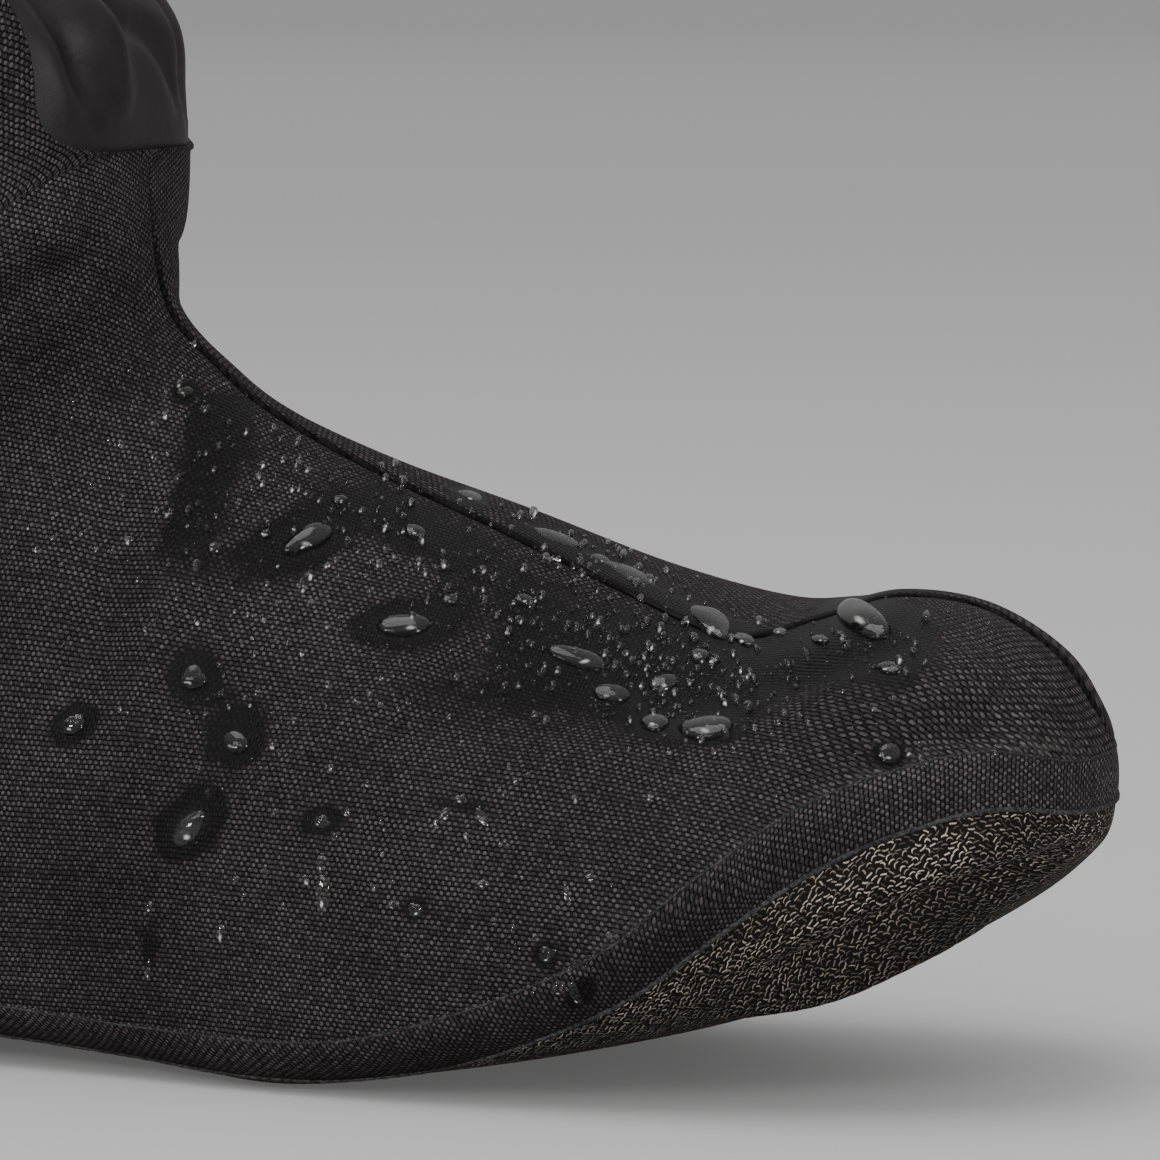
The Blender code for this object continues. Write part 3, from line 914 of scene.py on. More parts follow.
class NodeMaker:
    """Adds shader nodes to a tree with short calls."""

    def __init__(self, tree: bpy.types.NodeTree) -> None:
        """Keeps the tree that the nodes go in."""
        self.tree = tree

    def add(self, kind: str, inputs: dict | None = None, **values: object) -> bpy.types.Node:
        """One node, with its sockets set or linked.

        Args:
            kind: Node type name without its prefix.
            inputs: Values or sockets by input name or number.
            values: Node properties.

        Returns:
            The new node.
        """
        node = self.tree.nodes.new("ShaderNode" + kind)
        for key, value in values.items():
            setattr(node, key, value)
        for key, value in (inputs or {}).items():
            if isinstance(value, bpy.types.NodeSocket):
                self.tree.links.new(value, node.inputs[key])
            else:
                node.inputs[key].default_value = value
        return node

    def math(self, kind: str, *values: object) -> bpy.types.NodeSocket:
        """Result of a Math node."""
        node = self.add("Math", dict(enumerate(values)), operation=kind)
        return node.outputs[0]

    def range(self, value: object, low: float, high: float, to_low: float = 0.0,
              to_high: float = 1.0) -> bpy.types.NodeSocket:
        """A value carried smoothly from one range to another."""
        node = self.add("MapRange", {0: value, 1: low, 2: high, 3: to_low, 4: to_high},
                        interpolation_type="SMOOTHSTEP")
        return node.outputs[0]

    def mix(self, factor: object, first: object, second: object,
            blend: str = "MIX") -> bpy.types.NodeSocket:
        """Result of a colour Mix node."""
        node = self.add("Mix", {0: factor, 6: first, 7: second}, data_type="RGBA", blend_type=blend)
        return node.outputs[2]

    def blend(self, factor: object, first: object, second: object) -> bpy.types.NodeSocket:
        """Result of a number Mix node."""
        return self.add("Mix", {0: factor, 2: first, 3: second}, data_type="FLOAT").outputs[0]

    def attribute(self, name: str) -> bpy.types.NodeSocket:
        """A mesh attribute's value."""
        return self.add("Attribute", attribute_name=name).outputs["Fac"]

    def noise(self, vector: object, scale: float, detail: float = 2.0,
              roughness: float = 0.5) -> bpy.types.NodeSocket:
        """Value of a Noise Texture."""
        node = self.add("TexNoise", {"Vector": vector, "Scale": scale, "Detail": detail,
                                     "Roughness": roughness})
        return node.outputs[0]

    def split(self, vector: bpy.types.NodeSocket) -> tuple[bpy.types.NodeSocket, ...]:
        """The X, Y and Z of a vector."""
        return tuple(self.add("SeparateXYZ", {0: vector}).outputs)

    def join(self, x: object, y: object, z: object = 0.0) -> bpy.types.NodeSocket:
        """A vector from its parts."""
        return self.add("CombineXYZ", {0: x, 1: y, 2: z}).outputs[0]


def shader_group(name: str, inputs: dict[str, tuple[str, object]],
                 outputs: dict[str, str]) -> tuple[bpy.types.NodeTree, NodeMaker, dict, bpy.types.Node]:
    """A new shader node group with named sockets.

    Args:
        name: Name of the group.
        inputs: Socket kind and default value by name.
        outputs: Socket kind by name.

    Returns:
        The group, a maker for its nodes, its input sockets and its output node.
    """
    tree = bpy.data.node_groups.new(name, "ShaderNodeTree")
    for label, (kind, value) in inputs.items():
        socket = tree.interface.new_socket(label, in_out="INPUT", socket_type="NodeSocket" + kind)
        if value is not None:
            socket.default_value = value
    for label, kind in outputs.items():
        tree.interface.new_socket(label, in_out="OUTPUT", socket_type="NodeSocket" + kind)
    entry = tree.nodes.new("NodeGroupInput")
    result = tree.nodes.new("NodeGroupOutput")
    return tree, NodeMaker(tree), {s.name: s for s in entry.outputs if s.name}, result


class ClothPatterns:
    """Node groups that the cloth finishes share, each built once.

    Weave heights are shares of a thread's rise, and knit sizes are shares of a cell.
    """

    WARP_BASE = 0.40
    WEFT_BASE = 0.70
    LIFT = 0.46
    CROWN = (0.34, 0.85)
    WARP_SHARE = 0.25
    CHANCE_SHARE = 0.75
    LOOP_EDGE = (0.145, 0.045)
    LOOP_END = (0.44, 0.28)
    LOOP_TURN = 0.25
    LOOP_TURNING = 1.5
    LOOP_BOW = 3.0

    def __init__(self) -> None:
        """Builds every group."""
        self.weave = self._weave()
        self.knit = self._knit()
        self.wetness = self._wetness()

    @staticmethod
    def _weave() -> bpy.types.NodeTree:
        """Plain weave of two thread families, over and under each other.

        A thread's profile is the root of one less the square of the distance from its
        middle. Its lift is a cosine along it, with neighbours half a wave apart, and
        the other family takes the opposite lift. The higher thread shows.

        Returns:
            The node group.
        """
        tree, make, given, result = shader_group(
            "plain_weave",
            {"Threads": ("Vector", None), "Filling": ("Float", 0.46), "Waver": ("Float", 0.18)},
            {"Height": "Float", "Crown": "Float", "Tone": "Float"})
        drift = make.add("TexNoise", {"Vector": given["Threads"], "Scale": 0.35, "Detail": 2.0})
        moved = make.add("VectorMath", {0: drift.outputs[1], 1: (0.5, 0.5, 0.5)}, operation="SUBTRACT")
        pushed = make.add("VectorMath", {0: moved.outputs[0], "Scale": 1.0}, operation="SCALE")
        make.tree.links.new(given["Waver"], pushed.inputs["Scale"])
        thread = make.add("VectorMath", {0: given["Threads"], 1: pushed.outputs[0]}, operation="ADD")
        across, along, _ = make.split(thread.outputs[0])
        heights, tones = [], []
        for mine, other, sign, base in ((across, along, 1.0, ClothPatterns.WARP_BASE),
                                        (along, across, -1.0, ClothPatterns.WEFT_BASE)):
            number = make.math("FLOOR", mine)
            middle = make.math("SUBTRACT", make.math("FRACT", mine), 0.5)
            reach = make.math("DIVIDE", middle, given["Filling"])
            profile = make.math("SQRT", make.math("MAXIMUM", make.math(
                "SUBTRACT", 1.0, make.math("MULTIPLY", reach, reach)), 0.0))
            phase = make.math("MULTIPLY", make.math(
                "ADD", make.math("SUBTRACT", other, 0.5), number), math.pi)
            lift = make.math("MULTIPLY", make.math("COSINE", phase), ClothPatterns.LIFT * sign)
            heights.append(make.math("MULTIPLY", profile, make.math("ADD", lift, base)))
            tones.append(make.add("TexWhiteNoise", {"W": make.math("ADD", number, 50.0 * sign)},
                                  noise_dimensions="1D").outputs[0])
        height = make.math("MAXIMUM", *heights)
        first_on_top = make.math("GREATER_THAN", heights[0], heights[1])
        tone = make.blend(first_on_top, tones[1], tones[0])
        crossing = make.add("VectorMath", {0: thread.outputs[0]}, operation="FLOOR")
        chance = make.add("TexWhiteNoise", {"Vector": crossing.outputs[0]}, noise_dimensions="3D")
        crown = make.math("MULTIPLY", make.range(height, *ClothPatterns.CROWN),
                          make.range(first_on_top, 0.0, 1.0, 1.0, ClothPatterns.WARP_SHARE))
        make.tree.links.new(height, result.inputs["Height"])
        make.tree.links.new(crown, result.inputs["Crown"])
        make.tree.links.new(make.blend(ClothPatterns.CHANCE_SHARE, tone, chance.outputs[0]),
                            result.inputs["Tone"])
        return tree

    @staticmethod
    def _knit() -> bpy.types.NodeTree:
        """Short curved loops scattered in rows, from two staggered layers.

        Each cell holds one arc, which is turned and moved by the cell's own random
        values. Its height falls off with the distance from the arc's line.

        Returns:
            The node group.
        """
        tree, make, given, result = shader_group(
            "knit_loops", {"Loops": ("Vector", None)},
            {"Height": "Float", "Strand": "Float", "Tone": "Float"})
        layers = []
        for number, (shift, sign) in enumerate(((0.0, 1), (0.5, -1))):
            moved = make.add("VectorMath", {0: given["Loops"], 1: (shift, shift, 0.0)}, operation="ADD")
            cell = make.add("VectorMath", {0: moved.outputs[0]}, operation="FLOOR")
            chance = make.add("TexWhiteNoise", {"Vector": cell.outputs[0], "W": 7.3 * number},
                              noise_dimensions="4D")
            x, y, _ = make.split(make.add("VectorMath", {0: moved.outputs[0]},
                                          operation="FRACTION").outputs[0])
            red, green, blue = make.split(chance.outputs[1])
            x = make.math("ADD", make.math("SUBTRACT", x, 0.5),
                          make.math("MULTIPLY", make.math("SUBTRACT", red, 0.5), 0.3))
            y = make.math("ADD", make.math("SUBTRACT", y, 0.5),
                          make.math("MULTIPLY", make.math("SUBTRACT", green, 0.5), 0.35))
            angle = make.math("ADD", make.math("MULTIPLY", make.math("SUBTRACT", blue, 0.5),
                                               ClothPatterns.LOOP_TURNING), sign * ClothPatterns.LOOP_TURN)
            cosine, sine = make.math("COSINE", angle), make.math("SINE", angle)
            run = make.math("ADD", make.math("MULTIPLY", x, cosine), make.math("MULTIPLY", y, sine))
            gap = make.math("SUBTRACT", make.math("MULTIPLY", y, cosine), make.math("MULTIPLY", x, sine))
            bow = make.math("MULTIPLY", make.math("MULTIPLY", run, run),
                            make.math("MULTIPLY", make.math("SUBTRACT", green, 0.25), ClothPatterns.LOOP_BOW))
            gap = make.math("ABSOLUTE", make.math("SUBTRACT", gap, bow))
            strand = make.math("MULTIPLY", make.range(gap, *ClothPatterns.LOOP_EDGE),
                               make.range(make.math("ABSOLUTE", run), *ClothPatterns.LOOP_END))
            tone = make.math("ADD", make.math("MULTIPLY", red, 0.6), make.math("MULTIPLY", blue, 0.4))
            layers.append((strand, tone))
        height, tone = layers[0]
        for strand, other in layers[1:]:
            over = make.math("GREATER_THAN", strand, height)
            tone = make.blend(over, tone, other)
            height = make.math("MAXIMUM", height, strand)
        make.tree.links.new(height, result.inputs["Height"])
        make.tree.links.new(make.range(height, 0.2, 0.7), result.inputs["Strand"])
        make.tree.links.new(tone, result.inputs["Tone"])
        return tree

    @staticmethod
    def _wetness() -> bpy.types.NodeTree:
        """Wet cloth, and dust with painted highlight, from the painted masks, broken up by noise.

        Returns:
            The node group.
        """
        tree, make, given, result = shader_group(
            "wet_dust_and_highlight",
            {"Place": ("Vector", None), "Wet": ("Float", 0.0), "Dust": ("Float", 0.0)},
            {"Wet": "Float", "Dust": "Float", "Blotch": "Float"})
        broken = make.noise(given["Place"], 260.0, 3.0)
        wet = make.math("ADD", given["Wet"], make.math(
            "MULTIPLY", make.math("SUBTRACT", broken, 0.5), 0.7))
        fine = make.noise(given["Place"], 900.0, 3.0, 0.6)
        dust = make.math("MULTIPLY", given["Dust"], make.range(fine, 0.42, 0.68))
        blotch = make.noise(given["Place"], 38.0, 3.0)
        make.tree.links.new(make.math("MULTIPLY", make.range(wet, 0.25, 0.6),
                                      make.range(given["Wet"], 0.02, 0.2)), result.inputs["Wet"])
        make.tree.links.new(dust, result.inputs["Dust"])
        make.tree.links.new(make.range(blotch, 0.25, 0.75, 0.82, 1.16), result.inputs["Blotch"])
        return tree


def new_material(name: str) -> tuple[bpy.types.Material, NodeMaker, bpy.types.Node]:
    """A material with an empty Principled shader, and a maker for its nodes.

    Args:
        name: Name of the material.

    Returns:
        The material, a maker for its nodes, and its shader.
    """
    material = bpy.data.materials.new(name)
    material.use_nodes = True
    return material, NodeMaker(material.node_tree), material.node_tree.nodes["Principled BSDF"]


def grey(value: float, warm: float = 0.0, blue: float = 0.0) -> tuple[float, float, float, float]:
    """A grey in linear light, with its red and its blue raised by shares."""
    return (value * (1 + warm), value, value * (1 + blue), 1.0)


@dataclass(frozen=True)
class WovenFinish:
    """Loose dull plain weave of dark yarn, with wet patches, dust, and painted highlight and shade.

    The attribute named calm smooths the weave along seams and under standing drops.
    """

    name: str
    # Crown, valley and gap colours: the lighter crowns are a painted highlight and the darker gaps painted
    # shade between the threads.
    crown: float = 0.027
    valley: float = 0.0024
    gap: float = 0.0004
    warm: float = 0.20
    blue: float = 0.06
    filling: float = 0.46
    waver: float = 0.45
    depth: float = 0.00026
    roughness: float = 0.6
    specular: float = 0.07
    gap_heights: tuple[float, float] = (0.1, 0.55)
    thread_tones: tuple[float, float] = (0.55, 1.45)
    fleck_tones: tuple[float, float] = (0.5, 1.55)
    calm_crown: float = 0.05
    calm_relief: float = 0.12
    dust: tuple[float, float, float, float] = (0.060, 0.058, 0.056, 1.0)
    dust_and_highlight_share: float = 0.5
    wet: float = 0.0007
    wet_share: float = 0.86
    wet_roughness: float = 0.42

    def make(self, patterns: ClothPatterns) -> bpy.types.Material:
        """Builds the material.

        Args:
            patterns: Shared node groups.

        Returns:
            The material.
        """
        material, make, shader = new_material(self.name)
        links = material.node_tree.links
        place = make.add("TexCoord").outputs["Object"]
        threads = make.add("UVMap", uv_map="threads").outputs[0]
        weave = make.add("Group", {"Threads": threads, "Filling": self.filling, "Waver": self.waver},
                         node_tree=patterns.weave)
        damp = make.add("Group", {"Place": place, "Wet": make.attribute("wet"),
                                  "Dust": make.attribute("dust")}, node_tree=patterns.wetness)
        calm = make.attribute("calm")
        crown = make.math("MULTIPLY", weave.outputs["Crown"],
                          make.range(calm, 0.0, 1.0, 1.0, self.calm_crown))
        # Painted highlight on the thread crowns and painted shade in the gaps between the threads.
        yarn = make.mix(crown, grey(self.valley, self.warm, self.blue),
                        grey(self.crown, self.warm, self.blue))
        yarn = make.mix(make.range(weave.outputs["Height"], *self.gap_heights),
                        grey(self.gap, self.warm, self.blue), yarn)
        fleck = make.noise(threads, 1.3, 3.0, 0.65)
        tone = make.math("MULTIPLY", make.range(weave.outputs["Tone"], 0.1, 0.9, *self.thread_tones),
                         make.range(fleck, 0.3, 0.72, *self.fleck_tones))
        tone = make.math("MULTIPLY", tone, damp.outputs["Blotch"])
        # Painted shade and painted light from the shade attribute, times the yarn's random tone.
        cover = make.math("MULTIPLY", make.attribute("shade"), tone)
        yarn = make.mix(1.0, yarn, make.join(cover, cover, cover), "MULTIPLY")
        # Dust and painted highlight lighten the yarn.
        yarn = make.mix(make.math("MULTIPLY", damp.outputs["Dust"], self.dust_and_highlight_share), yarn, self.dust)
        yarn = make.mix(make.math("MULTIPLY", damp.outputs["Wet"], self.wet_share), yarn,
                        grey(self.wet, 0.1))
        links.new(yarn, shader.inputs["Base Color"])
        dull = make.range(weave.outputs["Height"], 0.2, 0.9, 1.0, self.roughness)
        links.new(make.blend(damp.outputs["Wet"], dull, self.wet_roughness), shader.inputs["Roughness"])
        shader.inputs["Specular IOR Level"].default_value = self.specular
        relief = make.math("MULTIPLY", weave.outputs["Height"],
                           make.range(calm, 0.0, 1.0, 1.0, self.calm_relief))
        bump = make.add("Bump", {"Strength": 0.9, "Distance": self.depth, "Height": relief})
        links.new(bump.outputs[0], shader.inputs["Normal"])
        return material


@dataclass(frozen=True)
class SmoothFinish:
    """Fine smooth semi-matt cloth with faint creases."""

    name: str = "smooth_gusset_cloth"
    colour: tuple[float, float, float, float] = (0.0108, 0.0083, 0.0090, 1.0)
    cloud_tones: tuple[float, float] = (0.72, 1.25)
    roughness: float = 0.5
    specular: float = 0.14
    crease_depth: float = 0.0006
    thread_depth: float = 0.00004

    def make(self, patterns: ClothPatterns) -> bpy.types.Material:
        """Builds the material.

        Args:
            patterns: Shared node groups.

        Returns:
            The material.
        """
        material, make, shader = new_material(self.name)
        links = material.node_tree.links
        place = make.add("TexCoord").outputs["Object"]
        threads = make.add("UVMap", uv_map="threads").outputs[0]
        weave = make.add("Group", {"Threads": threads, "Filling": 0.5}, node_tree=patterns.weave)
        cloud = make.noise(place, 45.0, 4.0, 0.6)
        dark, pale = ((*(share * c for c in self.colour[:3]), 1.0) for share in self.cloud_tones)
        colour = make.mix(make.range(cloud, 0.3, 0.7), dark, pale)
        links.new(colour, shader.inputs["Base Color"])
        links.new(make.range(cloud, 0.2, 0.8, self.roughness - 0.06, self.roughness + 0.1),
                  shader.inputs["Roughness"])
        shader.inputs["Specular IOR Level"].default_value = self.specular
        crease = make.noise(place, 120.0, 3.0, 0.55)
        rough = make.add("Bump", {"Strength": 0.5, "Distance": self.crease_depth, "Height": crease})
        bump = make.add("Bump", {"Strength": 0.5, "Distance": self.thread_depth,
                                 "Height": weave.outputs["Height"], "Normal": rough.outputs[0]})
        links.new(bump.outputs[0], shader.inputs["Normal"])
        return material


@dataclass(frozen=True)
class KnitFinish:
    """Coarse knit of pale loops over dark brown yarn."""

    name: str = "knit_sole_yarn"
    ground: tuple[float, float, float, float] = (0.0026, 0.0019, 0.0015, 1.0)
    dark_loop: tuple[float, float, float, float] = (0.041, 0.031, 0.0245, 1.0)
    pale_loop: tuple[float, float, float, float] = (0.34, 0.285, 0.235, 1.0)
    depth: float = 0.00035
    roughness: float = 0.78
    specular: float = 0.1

    def make(self, patterns: ClothPatterns) -> bpy.types.Material:
        """Builds the material.

        Args:
            patterns: Shared node groups.

        Returns:
            The material.
        """
        material, make, shader = new_material(self.name)
        links = material.node_tree.links
        place = make.add("TexCoord").outputs["Object"]
        loops = make.add("UVMap", uv_map="threads").outputs[0]
        drift = make.add("TexNoise", {"Vector": loops, "Scale": 0.6, "Detail": 1.0})
        pushed = make.add("VectorMath", {0: drift.outputs[1], "Scale": 0.5}, operation="SCALE")
        moved = make.add("VectorMath", {0: loops, 1: pushed.outputs[0]}, operation="ADD")
        knit = make.add("Group", {"Loops": moved.outputs[0]}, node_tree=patterns.knit)
        worn = make.noise(place, 60.0, 3.0)
        pale = make.math("MULTIPLY", make.range(knit.outputs["Tone"], 0.2, 0.75),
                         make.range(worn, 0.3, 0.62, 0.35, 1.0))
        # The pale attribute also carries painted shade and painted light from the sole's shade patches.
        pale = make.math("MULTIPLY", pale, make.attribute("pale"))
        loop = make.mix(pale, self.dark_loop, self.pale_loop)
        colour = make.mix(knit.outputs["Strand"], self.ground, loop)
        links.new(colour, shader.inputs["Base Color"])
        shader.inputs["Roughness"].default_value = self.roughness
        shader.inputs["Specular IOR Level"].default_value = self.specular
        bump = make.add("Bump", {"Strength": 1.0, "Distance": self.depth,
                                 "Height": knit.outputs["Height"]})
        links.new(bump.outputs[0], shader.inputs["Normal"])
        return material


@dataclass(frozen=True)
class CordFinish:
    """Fuzzy grey edging thread."""

    name: str = "fuzzy_edging"
    dark: float = 0.003
    pale: float = 0.045
    depth: float = 0.0003
    roughness: float = 0.85
    specular: float = 0.2

    def make(self) -> bpy.types.Material:
        """Builds the material.

        Returns:
            The material.
        """
        material, make, shader = new_material(self.name)
        links = material.node_tree.links
        place = make.add("TexCoord").outputs["Object"]
        lint = make.noise(place, 1500.0, 3.0, 0.7)
        patch = make.noise(place, 120.0, 2.0)
        share = make.math("MULTIPLY", make.range(lint, 0.35, 0.7), make.range(patch, 0.25, 0.65, 0.35, 1.0))
        links.new(make.mix(share, grey(self.dark), grey(self.pale, 0.04, 0.0)), shader.inputs["Base Color"])
        shader.inputs["Roughness"].default_value = self.roughness
        shader.inputs["Specular IOR Level"].default_value = self.specular
        bump = make.add("Bump", {"Strength": 1.0, "Distance": self.depth, "Height": lint})
        links.new(bump.outputs[0], shader.inputs["Normal"])
        return material


@dataclass(frozen=True)
class WaterFinish:
    """Clear rain water, with a bright spot painted low on each drop as the photo has it."""

    name: str = "rain_water"
    bend: float = 1.33
    roughness: float = 0.02
    painted_glint_range: tuple[float, float] = (0.3, 1.1)
    painted_glint: tuple[float, float, float, float] = (0.95, 0.95, 0.93, 1.0)

    def make(self) -> bpy.types.Material:
        """Builds the material.

        Returns:
            The material.
        """
        material, make, shader = new_material(self.name)
        shader.inputs["Base Color"].default_value = (1.0, 1.0, 1.0, 1.0)
        shader.inputs["Roughness"].default_value = self.roughness
        shader.inputs["IOR"].default_value = self.bend
        shader.inputs["Transmission Weight"].default_value = 1.0
        # Painted glint: the water glows near white on a crescent low on each drop, a painted highlight that
        # no lamp casts.
        glow = make.mix(make.range(make.attribute("painted_glint"), *self.painted_glint_range), grey(0.0), self.painted_glint)
        make.tree.links.new(glow, shader.inputs["Emission Color"])
        shader.inputs["Emission Strength"].default_value = 1.0
        return material


# Masks

@dataclass(frozen=True)
class Patch:
    """A soft spot on the cloth, by its pixel in the photograph and its size there."""

    column: float
    row: float
    wide: float
    high: float
    turn: float
    amount: float


WET_PATCHES = (
    Patch(205, 480, 34, 95, 20, 0.9), Patch(195, 675, 26, 30, 0, 0.9), Patch(235, 735, 30, 40, 20, 0.9),
    Patch(190, 825, 38, 34, -35, 1.0), Patch(300, 540, 46, 26, -15, 0.9), Patch(400, 625, 44, 24, -5, 0.9),
    Patch(215, 420, 26, 24, 0, 0.8), Patch(250, 570, 60, 40, 10, 0.45), Patch(520, 690, 170, 46, -4, 0.55),
    Patch(640, 640, 120, 44, 10, 0.6), Patch(820, 655, 110, 34, -12, 0.7), Patch(700, 700, 90, 36, -8, 0.6),
    Patch(570, 655, 60, 26, 5, 0.7), Patch(860, 635, 40, 28, 0, 0.8), Patch(460, 570, 120, 44, 25, 0.4),
    Patch(320, 820, 34, 12, -8, 0.7), Patch(460, 805, 44, 14, 10, 0.7), Patch(900, 650, 50, 60, 20, 0.5),
    Patch(150, 950, 10, 44, 4, 0.7), Patch(75, 725, 30, 22, -30, 0.6), Patch(400, 510, 160, 34, 22, 0.45),
)
# Dust, and painted highlight along the ridge above the band.
DUST_AND_HIGHLIGHT_PATCHES = (
    Patch(650, 925, 70, 12, -30, 0.8), Patch(740, 862, 70, 12, -32, 0.9), Patch(850, 795, 80, 12, -28, 0.7),
    Patch(1060, 748, 60, 9, 2, 0.8), Patch(960, 762, 70, 10, -14, 0.6), Patch(688, 610, 34, 12, 25, 0.9),
    Patch(665, 690, 26, 14, 0, 0.5), Patch(720, 680, 40, 22, 0, 0.4),
)
SHADE_PATCHES = (
    Patch(80, 900, 90, 70, 5, -0.38), Patch(560, 700, 190, 60, -4, -0.12),
    Patch(830, 650, 90, 40, -10, -0.25), Patch(960, 690, 70, 40, -10, 0.22),
    Patch(100, 430, 80, 170, 0, 0.12), Patch(300, 880, 170, 90, 0, 0.10),
    Patch(165, 560, 20, 130, 8, 0.14), Patch(360, 715, 90, 16, -38, 0.16), Patch(1040, 770, 70, 40, 0, 0.25),
    Patch(55, 200, 80, 80, 0, 0.4), Patch(1010, 670, 90, 80, 0, 0.25), Patch(350, 830, 300, 90, 0, -0.12),
)
SOLE_SHADES = (
    Patch(890, 890, 110, 16, -24, 0.35), Patch(860, 948, 120, 17, -24, -0.45),
    Patch(1020, 888, 70, 14, -26, -0.45), Patch(700, 1010, 90, 20, -18, -0.25),
)
BAND_WET = (Patch(580, 992, 12, 22, 40, 1.0),)
BAND_SHADES = (
    Patch(1040, 785, 130, 60, 0, 0.5), Patch(640, 960, 130, 70, -30, -0.3),
    Patch(300, 1040, 260, 60, 0, -0.2),
)


def painted(seen: Array, facing: Array, patches: tuple[Patch, ...]) -> Array:
    """Sum of soft spots at points, by where they show in the photograph.

    A spot's strength is a bell curve of the distance from its middle, measured along
    and across its turned axes in shares of its sizes.

    Args:
        seen: Column and row of each point.
        facing: How far each point faces the camera, from minus one to one.
        patches: Spots to add up.

    Returns:
        Strength at each point, zero where it faces away.
    """
    total = np.zeros(seen.shape[:-1])
    for spot in patches:
        angle = math.radians(spot.turn)
        x, y = seen[..., 0] - spot.column, seen[..., 1] - spot.row
        along = (x * math.cos(angle) + y * math.sin(angle)) / spot.wide
        across = (y * math.cos(angle) - x * math.sin(angle)) / spot.high
        total += spot.amount * np.exp(-(along ** 2 + across ** 2))
    return total * np.clip(facing * 8 + 0.5, 0, 1)


# Pieces

@dataclass(frozen=True)
class ThreadHint:
    """How the cloth's cross threads lie at a pixel, in degrees up to the right."""

    column: float
    row: float
    angle: float


OUTER_THREADS = (
    ThreadHint(40, 60, -14), ThreadHint(60, 220, -13), ThreadHint(100, 420, -9), ThreadHint(150, 560, -6),
    ThreadHint(300, 560, -6), ThreadHint(300, 700, -3), ThreadHint(100, 760, 0), ThreadHint(300, 860, 0),
    ThreadHint(100, 950, 0), ThreadHint(450, 940, 2), ThreadHint(600, 860, 3), ThreadHint(560, 700, -4),
    ThreadHint(700, 760, 0), ThreadHint(800, 700, -14), ThreadHint(900, 720, -26), ThreadHint(970, 680, -30),
    ThreadHint(1040, 700, -34), ThreadHint(1070, 730, -36), ThreadHint(700, 660, -8),
)


